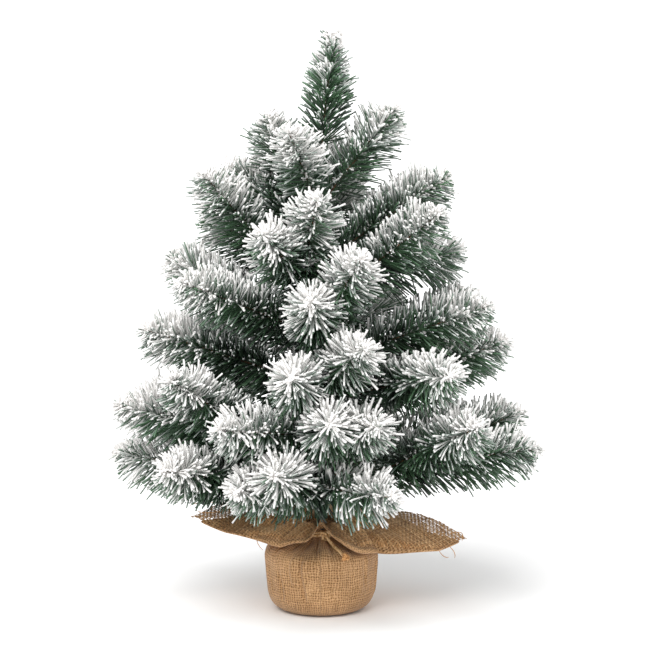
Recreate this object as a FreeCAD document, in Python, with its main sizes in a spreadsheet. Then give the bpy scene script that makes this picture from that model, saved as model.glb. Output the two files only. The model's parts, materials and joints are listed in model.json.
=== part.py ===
"""Flocked tabletop tree in a burlap-wrapped pot, as a parametric assembly.

Millimetres, +Z up. The origin is the centre of the pot's underside, where the
tree stands. The front is -Y. Azimuths are counted in degrees from the front
towards +X, so 90 is the right-hand side.
"""

import FreeCAD, Part
import math
import os
from dataclasses import dataclass

import Sketcher

V = FreeCAD.Vector
UP = V(0, 0, 1)

# Driving dimensions, in millimetres and degrees. Each becomes an aliased cell.
SIZES = {
    # pot, cement and burlap
    "pot_top_radius": 56.5,
    "pot_bottom_radius": 53.0,
    "pot_height": 57.0,
    "pot_wall": 1.5,
    "pot_corner_radius": 17.0,
    "cement_depth": 34.0,
    "cloth_thickness": 1.4,
    "cloth_gap": 0.3,
    "shoulder_rise": 6.5,
    "shoulder_radius": 8.0,
    "neck_radius": 18.0,
    "neck_hole_radius": 9.0,
    "neck_rise": 13.0,
    "neck_length": 11.0,
    # trunk and binding
    "pole_radius": 4.0,
    "pole_foot_height": 8.0,
    "pole_top_height": 478.0,
    "tape_foot_height": 96.0,
    "tape_wall": 0.9,
    "tail_length": 24.0,
    "snug_gap": 0.05,
    "running_gap": 0.3,
    # branches
    "wire_radius": 1.0,
    "knuckle_radius": 1.5,
    "knuckle_length": 6.0,
    "spray_root_radius": 7.0,
    "spray_tip_radius": 3.0,
    "spray_start": 6.0,
    "fork_step": 5.0,
    "wire_setback": 14.0,
    "spray_setback": 4.0,
    "leader_rise": 125.0,
    "leader_lean": 12.0,
    "leader_spray_radius": 9.0,
    # twine
    "twine_radius": 1.5,
    "tie_height": 2.9,
    "knot_radius": 4.2,
    "end_knot_radius": 3.0,
    "end_knot_seat": 1.0,
    "knot_across": 4.0,
}

# Share of the shorter run that each arc of a tube's path takes.
ARC_SHARE = 0.45

# The bound stretch of pole that the branch heights below are written for.
TABLE_BOUND_LENGTH = 382.0


@dataclass(frozen=True)
class Branch:
    """One branch wire and the tips on it.

    root is the height of its root above the foot of the binding tape, fork is
    how far along the main wire the side wires start, and each tip is
    (azimuth, rise above the root, reach from the trunk's axis). The first tip
    is the end of the main wire.
    """

    root: float
    fork: float
    tips: tuple


BRANCHES = (
    # bottom ring
    Branch(32, 62, ((-15, 53, 190), (-30, 30, 182), (25, 25, 178))),
    Branch(46, 62, ((84, 33, 229), (50, 79, 209), (98, 62, 214))),
    Branch(29, 62, ((-95, 38, 219), (-55, 45, 197), (-125, 60, 205))),
    Branch(27, 60, ((158, 42, 205), (125, 62, 208), (-160, 47, 200))),
    # second ring
    Branch(82, 55, ((3, 56, 185), (20, 50, 176), (-35, 43, 188))),
    Branch(76, 58, ((-80, 52, 216), (-55, 93, 190), (-108, 43, 208))),
    Branch(120, 55, ((89, 70, 195), (45, 56, 187), (117, 46, 190))),
    Branch(84, 55, ((175, 45, 195), (145, 60, 190), (-145, 55, 190))),
    # third ring
    Branch(131, 52, ((-10, 51, 178), (16, 80, 170))),
    Branch(143, 52, ((-75, 67, 191), (-105, 51, 185))),
    Branch(166, 52, ((79, 66, 180), (110, 60, 175))),
    Branch(142, 50, ((-170, 62, 175), (150, 72, 170), (-135, 82, 170))),
    # fourth ring
    Branch(188, 45, ((-4, 69, 155), (17, 110, 143))),
    Branch(196, 45, ((-60, 69, 168), (-97, 78, 163))),
    Branch(232, 42, ((65, 101, 137), (105, 45, 153))),
    Branch(206, 42, ((160, 83, 140), (-160, 73, 145))),
    # fifth ring
    Branch(236, 40, ((-26, 84, 137), (-2, 120, 115))),
    Branch(246, 40, ((-110, 71, 132), (-74, 124, 128))),
    Branch(276, 38, ((86, 88, 134), (114, 70, 122))),
    Branch(266, 36, ((-155, 68, 118), (160, 73, 115))),
    # top ring
    Branch(292, 26, ((-115, 76, 110), (-110, 134, 59))),
    Branch(332, 30, ((-30, 85, 69),)),
    Branch(342, 30, ((97, 90, 79),)),
    Branch(326, 30, ((150, 56, 70), (-165, 73, 60))),
)

# The burlap collar's edge above the tie: (azimuth, reach beyond the neck, rise
# above the neck's top). The long reaches are the corners of the square of cloth.
# The reaches are written for a shoulder of TABLE_SHOULDER_WIDTH, neck to edge.
TABLE_SHOULDER_WIDTH = 40.6
COLLAR_EDGE = (
    (0, 16, 3),
    (30, 38, -12),
    (60, 48, -25),
    (78, 108, -27),
    (90, 133, -17),
    (104, 107, -3),
    (116, 90, 3),
    (145, 60, 2),
    (180, 107, -5),
    (-145, 60, 4),
    (-116, 88, 15),
    (-100, 104, 12),
    (-90, 116, 9),
    (-80, 84, -5),
    (-68, 56, -14),
    (-46, 40, -16),
    (-22, 26, -9),
)
COLLAR_CORNERS = (90, 180, -90)
COLLAR_BEND = 0.35
COLLAR_SAG = 0.25

# Route of the twine's free end, from the knot out over the pot's shoulder,
# as steps (across, towards the front, up) from the knot's middle.
TAIL_ROUTE = (
    (2.2, 3.0, -0.8),
    (6.4, 8.4, -5.6),
    (11.0, 14.6, -9.8),
    (15.6, 21.1, -12.0),
    (19.2, 26.8, -14.4),
)


@dataclass(frozen=True)
class Size:
    """A length known twice: as an expression on the sheet and as a number."""

    text: str
    value: float

    def __add__(self, other):
        return Size(f"({self.text} + {other.text})", self.value + other.value)

    def __sub__(self, other):
        return Size(f"({self.text} - {other.text})", self.value - other.value)

    def __mul__(self, other):
        return Size(f"{self.text} * {other.text}", self.value * other.value)

    def __truediv__(self, other):
        return Size(f"{self.text} / {other.text}", self.value / other.value)


class Plan:
    """The sheet's cells, and the heights and radii worked out from them.

    Each is a Size, under its alias: plan.pot_height is the cell pot_height.
    """

    def __init__(self, doc):
        sheet = doc.addObject("Spreadsheet::Sheet", "sizes")
        for row, (alias, value) in enumerate(SIZES.items(), start=1):
            sheet.set(f"A{row}", alias)
            sheet.set(f"B{row}", str(value))
            sheet.setAlias(f"B{row}", alias)
        doc.recompute()
        for alias in SIZES:
            setattr(self, alias, Size(f"sizes.{alias}", sheet.get(alias)))

        # heights, from the ground up
        self.cloth_layer = self.cloth_gap + self.cloth_thickness
        self.pot_floor = self.cloth_layer
        self.pot_inside = self.pot_floor + self.pot_wall
        self.rim = self.pot_floor + self.pot_height
        self.shoulder = self.rim + self.shoulder_rise
        self.neck_foot = self.shoulder + self.neck_rise
        self.neck_top = self.neck_foot + self.neck_length
        self.tie = self.neck_foot + self.tie_height

        # the cloth follows the pot's wall, and goes on past its rim to the shoulder
        self.pot_lean = (self.pot_top_radius - self.pot_bottom_radius) / self.pot_height
        self.lean_out = self.pot_lean * self.shoulder_rise
        self.cover_radius = self.pot_top_radius + self.cloth_layer + self.lean_out
        self.shoulder_width = self.cover_radius - self.neck_radius

        # radii of the twine and the binding
        self.twine_thickness = self.twine_radius + self.twine_radius
        self.tape_bore = self.pole_radius + self.snug_gap
        self.tail_circle = self.tape_bore + self.snug_gap + self.wire_radius
        self.tape_radius = self.tail_circle + self.wire_radius + self.tape_wall
        self.socket_radius = self.wire_radius + self.snug_gap
        self.knuckle_clear = self.running_gap + self.knuckle_radius
        self.pivot_radius = self.tape_radius + self.knuckle_clear

    def root_height(self, branch):
        """Height of a branch's root, spread over the bound part of the pole."""
        bound = self.pole_top_height.value - self.tape_foot_height.value
        return self.tape_foot_height.value + branch.root * bound / TABLE_BOUND_LENGTH


def direction(azimuth):
    """Horizontal unit vector at an azimuth counted from the front."""
    angle = math.radians(azimuth)
    return V(math.sin(angle), -math.cos(angle), 0)


def along(start, way):
    """Placement that stands a primitive's own +Z along a way from a start."""
    return FreeCAD.Placement(start, FreeCAD.Rotation(UP, way))


# ---------------------------------------------------------------- small makers


def add_rod(doc, name, start, end, radius):
    """Straight round rod between two points."""
    rod = doc.addObject("Part::Cylinder", name)
    rod.setExpression("Radius", radius.text)
    rod.Height = (end - start).Length
    rod.Placement = along(start, end - start)
    return rod


def add_taper(doc, name, start, end, start_radius, end_radius):
    """Round taper between two points."""
    taper = doc.addObject("Part::Cone", name)
    taper.setExpression("Radius1", start_radius.text)
    taper.setExpression("Radius2", end_radius.text)
    taper.Height = (end - start).Length
    taper.Placement = along(start, end - start)
    return taper


def add_cut(doc, name, base, tool):
    """Base minus tool, as a live boolean."""
    cut = doc.addObject("Part::Cut", name)
    cut.Base = base
    cut.Tool = tool
    return cut


def add_group(doc, label, members):
    """Several solids kept apart in one named sub-part."""
    group = doc.addObject("Part::Compound", label)
    group.Label = label
    group.Links = members
    return group


def pin_corner(sketch, index, radius, height):
    """Hold one corner of an outline at its radius and height."""
    for kind, size, axis in (("DistanceX", radius, -2), ("DistanceY", height, -1)):
        if size is None:
            sketch.addConstraint(Sketcher.Constraint("PointOnObject", index, 1, axis))
        else:
            held = Sketcher.Constraint(kind, -1, 1, index, 1, size.value)
            place = sketch.addConstraint(held)
            sketch.setExpression(f"Constraints[{place}]", size.text)


def add_profile_body(doc, label, corners):
    """Revolve a closed outline of (radius, height) corners about +Z.

    A radius of None puts that corner on the axis, and a height of None on the
    ground.
    """
    body = doc.addObject("PartDesign::Body", label)
    body.Label = label
    sketch = body.newObject("Sketcher::SketchObject", f"{label}_outline")
    planes = [o for o in body.Origin.OriginFeatures if o.Role == "XZ_Plane"]
    sketch.AttachmentSupport = (planes[0], "")
    sketch.MapMode = "FlatFace"
    points = [V(*[size.value if size else 0 for size in corner]) for corner in corners]
    following = [(index + 1) % len(points) for index in range(len(points))]
    for index, after in enumerate(following):
        sketch.addGeometry(Part.LineSegment(points[index], points[after]), False)
    for index, after in enumerate(following):
        sketch.addConstraint(Sketcher.Constraint("Coincident", index, 2, after, 1))
    for index, (radius, height) in enumerate(corners):
        pin_corner(sketch, index, radius, height)
    turned = body.newObject("PartDesign::Revolution", f"{label}_turned")
    turned.Profile = sketch
    turned.ReferenceAxis = (sketch, ["V_Axis"])
    turned.Angle = 360
    doc.recompute()
    return body


def nearest_circle(shape, radius, height):
    """Name of the circular edge nearest a radius and height."""
    rims = []
    for number, edge in enumerate(shape.Edges, start=1):
        if isinstance(edge.Curve, Part.Circle):
            off = abs(edge.Curve.Radius - radius) + abs(edge.Curve.Center.z - height)
            rims.append((off, f"Edge{number}"))
    return min(rims)[1]


def round_corner(doc, body, name, rounding, radius, height=None):
    """Fillet a turned body's circular edge at a radius and height."""
    base = body.Tip
    edge = nearest_circle(base.Shape, radius.value, height.value if height else 0)
    fillet = body.newObject("PartDesign::Fillet", name)
    fillet.Base = (base, [edge])
    fillet.setExpression("Radius", rounding.text)
    body.Tip = fillet
    doc.recompute()


# ---------------------------------------------------------------- pot and cloth


def make_pot_shell(doc, plan):
    """Open plastic pot with a rounded foot."""
    inner_top = plan.pot_top_radius - plan.pot_wall
    inner_foot = plan.pot_bottom_radius - plan.pot_wall
    body = add_profile_body(
        doc,
        "pot_shell",
        (
            (None, plan.pot_floor),
            (plan.pot_bottom_radius, plan.pot_floor),
            (plan.pot_top_radius, plan.rim),
            (inner_top, plan.rim),
            (inner_foot, plan.pot_inside),
            (None, plan.pot_inside),
        ),
    )
    rounding = plan.pot_corner_radius
    round_corner(doc, body, "pot_foot_round", rounding, plan.pot_bottom_radius, plan.pot_floor)
    rounding = plan.pot_corner_radius - plan.pot_wall
    round_corner(doc, body, "pot_inner_round", rounding, inner_foot, plan.pot_inside)
    return body


def make_cement_fill(doc, plan, pole):
    """Cement weight poured into the pot around the pole's foot."""
    inset = plan.pot_wall + plan.snug_gap
    floor = plan.pot_floor + inset
    foot = plan.pot_bottom_radius - inset
    body = add_profile_body(
        doc,
        "cement_block",
        (
            (None, floor),
            (foot, floor),
            (foot + plan.pot_lean * plan.cement_depth, floor + plan.cement_depth),
            (None, floor + plan.cement_depth),
        ),
    )
    rounding = plan.pot_corner_radius - inset
    round_corner(doc, body, "cement_foot_round", rounding, foot, floor)
    fill = add_cut(doc, "cement_fill", body, pole)
    fill.Label = "cement_fill"
    return fill


def make_cloth_cover(doc, plan):
    """Burlap over the pot: floor, wall, shoulder and the bunched neck."""
    cloth = plan.cloth_thickness
    foot = plan.pot_bottom_radius + plan.cloth_layer
    top = plan.cover_radius
    inner_foot = plan.pot_bottom_radius + plan.cloth_gap
    inner_top = plan.cover_radius - cloth - plan.pot_lean * cloth
    body = add_profile_body(
        doc,
        "cloth_cover",
        (
            (None, None),
            (foot, None),
            (top, plan.shoulder),
            (plan.neck_radius, plan.neck_foot),
            (plan.neck_radius, plan.neck_top),
            (plan.neck_hole_radius, plan.neck_top),
            (plan.neck_hole_radius, plan.neck_foot - cloth),
            (inner_top, plan.shoulder - cloth),
            (inner_foot, cloth),
            (None, cloth),
        ),
    )
    foot_rounding = plan.pot_corner_radius + plan.cloth_gap
    round_corner(doc, body, "cloth_foot_round", foot_rounding + cloth, foot)
    round_corner(doc, body, "cloth_inner_round", foot_rounding, inner_foot, cloth)
    rounding = plan.shoulder_radius
    round_corner(doc, body, "cloth_shoulder_round", rounding, top, plan.shoulder)
    rounding = plan.shoulder_radius - cloth
    place = plan.shoulder - cloth
    round_corner(doc, body, "cloth_shoulder_inner_round", rounding, inner_top, place)
    return body


def collar_ring(plan, share_out, share_sag, lift):
    """Closed wire round the collar, part of the way from the neck to the edge.

    It is a smooth curve from each corner of the cloth to the next.
    """
    spread = plan.shoulder_width.value / TABLE_SHOULDER_WIDTH
    points = []
    corners = []
    for azimuth, reach, rise in COLLAR_EDGE:
        if azimuth in COLLAR_CORNERS:
            corners.append(len(points))
        radius = plan.neck_radius.value + reach * spread * share_out
        height = plan.neck_top.value + rise * share_sag + lift
        points.append(direction(azimuth) * radius + V(0, 0, height))
    points = points + points
    edges = []
    for start, end in zip(corners, corners[1:] + [corners[0] + len(COLLAR_EDGE)]):
        curve = Part.BSplineCurve()
        curve.interpolate(points[start : end + 1])
        edges.append(curve.toShape())
    return Part.Wire(edges)


def make_collar(doc, plan):
    """Burlap above the tie: one closed band of cloth spread into flaps."""
    spread = ((0, 0), (COLLAR_BEND, COLLAR_SAG), (1, 1))
    under = [collar_ring(plan, out, sag, 0) for out, sag in spread]
    over = [collar_ring(plan, out, sag, plan.cloth_thickness.value) for out, sag in spread]
    rings = under + over[::-1]
    faces = []
    for index, ring in enumerate(rings):
        following = rings[(index + 1) % len(rings)]
        faces.extend(Part.makeRuledSurface(ring, following).Faces)
    shell = Part.makeShell(faces)
    shell.sewShape()
    solid = Part.Solid(shell)
    if solid.Volume < 0:
        solid.reverse()
    collar = doc.addObject("Part::Feature", "cloth_collar")
    collar.Shape = solid
    collar.Placement = FreeCAD.Placement()
    return collar


# ---------------------------------------------------------------- twine


def tangent_route(points):
    """Wire of straight runs joined by the largest tangent arcs they allow."""
    edges = []
    radii = []
    last = points[0]
    for before, corner, after in zip(points, points[1:], points[2:]):
        come = before - corner
        go = after - corner
        shorter = min(come.Length, go.Length)
        half_turn = (math.pi - come.getAngle(go)) / 2
        setback = ARC_SHARE * shorter
        radii.append(setback / math.tan(half_turn))
        come.normalize()
        go.normalize()
        start = corner + come * setback
        end = corner + go * setback
        inward = come + go
        inward.normalize()
        depth = setback * (1 / math.sin(half_turn) - 1 / math.tan(half_turn))
        middle = corner + inward * depth
        edges.append(Part.LineSegment(last, start).toShape())
        edges.append(Part.Arc(start, middle, end).toShape())
        last = end
    edges.append(Part.LineSegment(last, points[-1]).toShape())
    return Part.Wire(edges), radii


def knot_middle(plan):
    """Middle of the knot, just in front of the tied neck."""
    ahead = plan.neck_radius + plan.twine_thickness + plan.knot_radius
    height = plan.tie + plan.twine_radius
    return V(plan.knot_across.value, -ahead.value, height.value)


def make_twine_turns(doc, plan):
    """Two turns of twine round the neck, one above the other."""
    turns = []
    pitch = plan.twine_thickness + plan.snug_gap
    for index in range(2):
        turn = doc.addObject("Part::Torus", f"twine_turn_{index + 1}")
        turn.setExpression("Radius1", (plan.neck_radius + plan.twine_radius).text)
        turn.setExpression("Radius2", plan.twine_radius.text)
        turn.Placement.Base = V(0, 0, plan.tie.value + index * pitch.value)
        turns.append(turn)
    return add_group(doc, "twine_wrap", turns)


def add_knot(doc, label, middle, radius, tail):
    """Round knot, hollow where the twine runs through it."""
    ball = doc.addObject("Part::Sphere", f"{label}_ball")
    ball.setExpression("Radius", radius.text)
    ball.Placement.Base = middle
    knot = add_cut(doc, label, ball, tail)
    knot.Label = label
    return knot


def make_twine(doc, plan):
    """Twine turns, the knot in front, the free end and the knot on that end."""
    middle = knot_middle(plan)
    points = [middle + V(across, -ahead, up) for across, ahead, up in TAIL_ROUTE]
    route, radii = tangent_route(points)
    print("twine tail radii:", ", ".join(f"{radius:.1f}" for radius in radii))
    thin = plan.twine_radius.value
    section = Part.Wire(Part.makeCircle(thin, points[0], points[1] - points[0]))
    tail = doc.addObject("Part::Feature", "twine_tail")
    tail.Shape = route.makePipeShell([section], True, False)
    tail.Placement = FreeCAD.Placement()
    expected = math.pi * thin**2 * route.Length
    print(f"twine tail volume {tail.Shape.Volume:.1f}, section times length {expected:.1f}")

    end_way = points[-1] - points[-2]
    end_way.normalize()
    end_middle = points[-1] + end_way * (plan.end_knot_radius - plan.end_knot_seat).value
    return [
        make_twine_turns(doc, plan),
        add_knot(doc, "twine_knot", middle, plan.knot_radius, tail),
        tail,
        add_knot(doc, "twine_end_knot", end_middle, plan.end_knot_radius, tail),
    ]


# ---------------------------------------------------------------- trunk


def make_tails(doc, plan):
    """Bound tails of the branch wires, and the sockets they leave in the tape."""
    tails = []
    sockets = []
    for number, branch in enumerate(BRANCHES, start=1):
        root = plan.root_height(branch)
        spot = direction(branch.tips[0][0]) * plan.tail_circle.value
        foot = max(root - plan.tail_length.value, plan.tape_foot_height.value)
        low = spot + V(0, 0, foot)
        high = spot + V(0, 0, root)
        tails.append(add_rod(doc, f"tail_{number:02d}", low, high, plan.wire_radius))
        sockets.append(add_rod(doc, f"socket_{number:02d}", low, high, plan.socket_radius))
    return add_group(doc, "wire_tails", tails), add_group(doc, "tail_sockets", sockets)


def make_trunk(doc, plan):
    """Steel pole, the bound tails of the branch wires and the tape round them."""
    foot = V(0, 0, plan.pole_foot_height.value)
    top = V(0, 0, plan.pole_top_height.value)
    tape_foot = V(0, 0, plan.tape_foot_height.value)
    pole = add_rod(doc, "trunk_pole", foot, top, plan.pole_radius)
    pole.Label = "trunk_pole"
    pole.setExpression("Height", (plan.pole_top_height - plan.pole_foot_height).text)
    wire_tails, sockets = make_tails(doc, plan)
    sleeve = add_rod(doc, "tape_outside", tape_foot, top, plan.tape_radius)
    bore = add_rod(doc, "tape_inside", tape_foot, top, plan.tape_bore)
    tape = add_cut(doc, "binding_tape", add_cut(doc, "tape_tube", sleeve, bore), sockets)
    tape.Label = "binding_tape"
    return [pole, wire_tails, tape]


# ---------------------------------------------------------------- branches


@dataclass
class Twig:
    """A straight wire: where its wire starts and ends, and where its spray does."""

    start: FreeCAD.Vector
    wire_end: FreeCAD.Vector
    spray_start: FreeCAD.Vector
    spray_end: FreeCAD.Vector


def make_twig(plan, start, tip, first):
    """Straight twig from a start to the needles' tip; its spray starts at first."""
    way = tip - start
    length = way.Length
    way.normalize()
    return Twig(
        start,
        start + way * (length - plan.wire_setback.value),
        start + way * first,
        start + way * (length - plan.spray_setback.value),
    )


def main_spray_start(plan, way):
    """Where the main spray starts, so that its rim clears the tape."""
    rim = plan.spray_root_radius.value * way.z - plan.knuckle_radius.value
    return plan.spray_start.value + max(0, rim / math.hypot(way.x, way.y))


def branch_geometry(plan, branch):
    """Pivot, hinge axis and straight twigs of one branch, main twig first."""
    root = plan.root_height(branch)
    outward = direction(branch.tips[0][0])
    pivot = outward * plan.pivot_radius.value + V(0, 0, root)
    tips = []
    for azimuth, rise, reach in branch.tips:
        tips.append(direction(azimuth) * reach + V(0, 0, root + rise))
    main_way = (tips[0] - pivot).normalize()
    twigs = [make_twig(plan, pivot, tips[0], main_spray_start(plan, main_way))]
    for index, tip in enumerate(tips[1:]):
        start = pivot + main_way * (branch.fork + index * plan.fork_step.value)
        apart = math.sin((tip - start).getAngle(main_way))
        twigs.append(make_twig(plan, start, tip, 2 * plan.spray_root_radius.value / apart))
    return pivot, outward.cross(UP), twigs


def add_spray(doc, plan, tag, twig, wires_inside, root_radius):
    """Dense inner part of one tip's needles, hollow where wires run through it."""
    tip_radius = plan.spray_tip_radius
    foot = twig.spray_start
    spray = add_taper(doc, f"{tag}_taper", foot, twig.spray_end, root_radius, tip_radius)
    for index, wire in enumerate(wires_inside, start=1):
        room = add_rod(doc, f"{tag}_room_{index}", wire.start, wire.wire_end, plan.socket_radius)
        spray = add_cut(doc, f"{tag}_spray_{index}", spray, room)
    return spray


def add_hinged_wire(doc, plan, name, pivot, axis, twig):
    """Straight wire with the knuckle that it bends about."""
    half = axis * (plan.knuckle_length.value / 2)
    wire = doc.addObject("Part::Fuse", name)
    wire.Base = add_rod(doc, f"{name}_rod", twig.start, twig.wire_end, plan.wire_radius)
    wire.Tool = add_rod(doc, f"{name}_knuckle", pivot - half, pivot + half, plan.knuckle_radius)
    return wire


def make_branch(doc, plan, number, branch):
    """Wire and needle spray of one branch, as two sub-parts."""
    pivot, axis, twigs = branch_geometry(plan, branch)
    name = f"branch_{number:02d}"
    main = add_hinged_wire(doc, plan, f"{name}_main", pivot, axis, twigs[0])
    wires = [main]
    for index, twig in enumerate(twigs[1:], start=2):
        rod = add_rod(doc, f"{name}_{index}_rod", twig.start, twig.wire_end, plan.wire_radius)
        wires.append(add_cut(doc, f"{name}_{index}_side", rod, main.Base))
    radius = plan.spray_root_radius
    sprays = []
    for index, twig in enumerate(twigs):
        tag = f"{name}_{index + 1}"
        sprays.append(add_spray(doc, plan, tag, twig, twigs[index:], radius))
    return [
        add_group(doc, f"{name}_wire", wires),
        add_group(doc, f"{name}_needles", sprays),
    ]


def make_leader(doc, plan):
    """Upright tip on top of the pole."""
    top = plan.pole_top_height
    pivot = V(0, 0, (top + plan.knuckle_clear).value)
    tip = V(plan.leader_lean.value, 0, (top + plan.leader_rise).value)
    twig = make_twig(plan, pivot, tip, plan.spray_start.value)
    wire = add_hinged_wire(doc, plan, "leader_wire", pivot, V(0, 1, 0), twig)
    wire.Label = "leader_wire"
    needles = add_spray(doc, plan, "leader", twig, [twig], plan.leader_spray_radius)
    needles.Label = "leader_needles"
    return [wire, needles]


# ---------------------------------------------------------------- the whole tree


def check_document(doc, parts):
    """Stop if any object failed or any sub-part's shape is bad."""
    for thing in doc.Objects:
        if {"Invalid", "Error"} & set(thing.State):
            raise RuntimeError(f"{thing.Name} failed: {thing.State}")
    for part in parts:
        if part.Shape.isNull() or not part.Shape.isValid() or not part.Shape.Solids:
            raise RuntimeError(f"{part.Label} has a bad shape")


def main():
    """Build the document, check it and write one STEP file per sub-part."""
    doc = FreeCAD.newDocument("tabletop_tree")
    plan = Plan(doc)
    pole, wire_tails, tape = make_trunk(doc, plan)
    parts = [make_pot_shell(doc, plan), make_cement_fill(doc, plan, pole)]
    cover = make_cloth_cover(doc, plan)
    parts.append(add_group(doc, "burlap_wrap", [cover, make_collar(doc, plan)]))
    parts.extend([pole, wire_tails, tape])
    parts.extend(make_twine(doc, plan))
    for number, branch in enumerate(BRANCHES, start=1):
        parts.extend(make_branch(doc, plan, number, branch))
    parts.extend(make_leader(doc, plan))
    doc.recompute()
    check_document(doc, parts)
    os.makedirs("parts", exist_ok=True)
    for part in parts:
        part.Shape.exportStep(f"parts/{part.Label}.step")
    print(len(parts), "sub-parts written")


if __name__ == "__main__":
    main()
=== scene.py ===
"""Looks of a flocked tabletop tree in a burlap-wrapped pot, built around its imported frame.

Lengths are metres, +Z is up, and the front is -Y. The frame's branch wires say where each twig
runs. The burlap and the twine have their own sizes, which fit the frame's pot and neck.
"""

import json
import logging
import math
from dataclasses import dataclass
from enum import Enum

import bpy
import numpy as np
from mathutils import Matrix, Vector

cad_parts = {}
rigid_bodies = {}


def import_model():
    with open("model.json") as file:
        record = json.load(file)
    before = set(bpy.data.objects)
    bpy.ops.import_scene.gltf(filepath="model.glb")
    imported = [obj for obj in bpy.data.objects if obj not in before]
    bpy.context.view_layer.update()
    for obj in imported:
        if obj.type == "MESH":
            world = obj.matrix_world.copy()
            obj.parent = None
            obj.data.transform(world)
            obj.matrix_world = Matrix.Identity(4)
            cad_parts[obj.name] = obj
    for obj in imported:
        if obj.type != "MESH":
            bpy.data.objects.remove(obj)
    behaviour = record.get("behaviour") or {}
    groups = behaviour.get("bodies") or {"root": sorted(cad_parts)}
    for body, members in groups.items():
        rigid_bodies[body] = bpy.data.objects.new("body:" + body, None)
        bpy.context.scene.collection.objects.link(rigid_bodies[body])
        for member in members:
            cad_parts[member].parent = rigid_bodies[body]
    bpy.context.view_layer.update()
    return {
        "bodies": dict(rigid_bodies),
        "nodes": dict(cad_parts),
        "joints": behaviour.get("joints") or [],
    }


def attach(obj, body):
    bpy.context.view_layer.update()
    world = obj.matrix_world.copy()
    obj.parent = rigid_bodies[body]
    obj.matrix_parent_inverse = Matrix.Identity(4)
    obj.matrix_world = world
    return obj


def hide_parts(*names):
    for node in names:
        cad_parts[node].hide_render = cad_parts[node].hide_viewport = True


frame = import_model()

MM = 0.001
UP = np.array((0.0, 0.0, 1.0))
log = logging.getLogger("tree")


class Mark(Enum):
    """Names of the values that a mesh carries for its material."""

    SNOW = "snow"
    TONE = "tone"
    CLOTH_MAP = "cloth_map"
    BAKE_MAP = "OFBake"


# ------------------------------------------------------------------ numbers


def smooth(low: float, high: float, value: np.ndarray) -> np.ndarray:
    """Rise from 0 at low to 1 at high as 3x^2 - 2x^3, with x the share of the way, in 0..1."""
    share = np.clip((value - low) / (high - low), 0.0, 1.0)
    return share * share * (3.0 - 2.0 * share)


def unit(vectors: np.ndarray) -> np.ndarray:
    """Scale vectors, in rows, to a length of 1."""
    return vectors / np.maximum(np.linalg.norm(vectors, axis=-1, keepdims=True), 1e-12)


def square_to(ways: np.ndarray) -> tuple[np.ndarray, np.ndarray]:
    """Give two unit vectors square to each way and to each other.

    Args:
        ways: unit vectors in rows.

    Returns:
        The sideways vectors, which lie level, and the ones that point up from the way.
    """
    level = np.cross(ways, UP)
    flat = np.linalg.norm(level, axis=-1, keepdims=True) < 1e-3
    side = unit(np.where(flat, np.cross(ways, np.array((0.0, 1.0, 0.0))), level))
    return side, np.cross(side, ways)


def turned(turn: np.ndarray, side: np.ndarray, above: np.ndarray) -> np.ndarray:
    """Unit vectors in the plane of side and above, at the angles of turn from side."""
    return np.cos(turn)[..., None] * side + np.sin(turn)[..., None] * above


def run_length(points: np.ndarray) -> np.ndarray:
    """Length along a line of points in rows, or along each of many, from its start."""
    steps = np.linalg.norm(np.diff(points, axis=0), axis=-1)
    return np.concatenate([np.zeros_like(steps[:1]), np.cumsum(steps, axis=0)])


def heading(azimuth: np.ndarray) -> np.ndarray:
    """Level unit vectors at azimuths in radians, from the front to the right."""
    return np.stack([np.sin(azimuth), -np.cos(azimuth)], axis=-1)


def from_front(azimuth: np.ndarray) -> np.ndarray:
    """Angle from the front to either side, of azimuths in degrees from 0 to 360."""
    return np.minimum(azimuth, 360.0 - azimuth)


@dataclass(frozen=True)
class Ripple:
    """Smooth uneven field in space, for clumps and stains.

    Formula: the mean of a few sine waves of about one wavelength, each along its own random way
    and with its own random start, stretched so that it nearly fills -1..1.

    Attributes:
        size: wavelength, in metres.
        seed: which random ways are drawn.
        waves: how many waves are added.
    """

    size: float
    seed: int
    waves: int = 7

    def at(self, points: np.ndarray) -> np.ndarray:
        """Values of the field at points in rows, from -1 to 1."""
        draw = np.random.default_rng(self.seed)
        ways = unit(draw.normal(size=(self.waves, 3)))
        pace = 2.0 * math.pi / self.size * draw.uniform(0.7, 1.4, self.waves)
        start = draw.uniform(0.0, 2.0 * math.pi, self.waves)
        heights = np.sin(points @ (ways * pace[:, None]).T + start)
        return np.clip(heights.sum(axis=-1) / math.sqrt(self.waves), -1.0, 1.0)


# ------------------------------------------------------------------ meshes


def strip_faces(rows: int, columns: int, closed: bool) -> np.ndarray:
    """Faces of a grid of points stored row by row.

    Args:
        rows: number of rows.
        columns: number of points in a row.
        closed: whether each row's end joins its start.

    Returns:
        Four corner numbers for each face.
    """
    across = np.arange(columns if closed else columns - 1)
    beside = (across + 1) % columns
    base = np.arange(rows - 1)[:, None] * columns
    corners = (base + across, base + beside, base + columns + beside, base + columns + across)
    return np.stack(corners, axis=-1).reshape(-1, 4)


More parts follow.
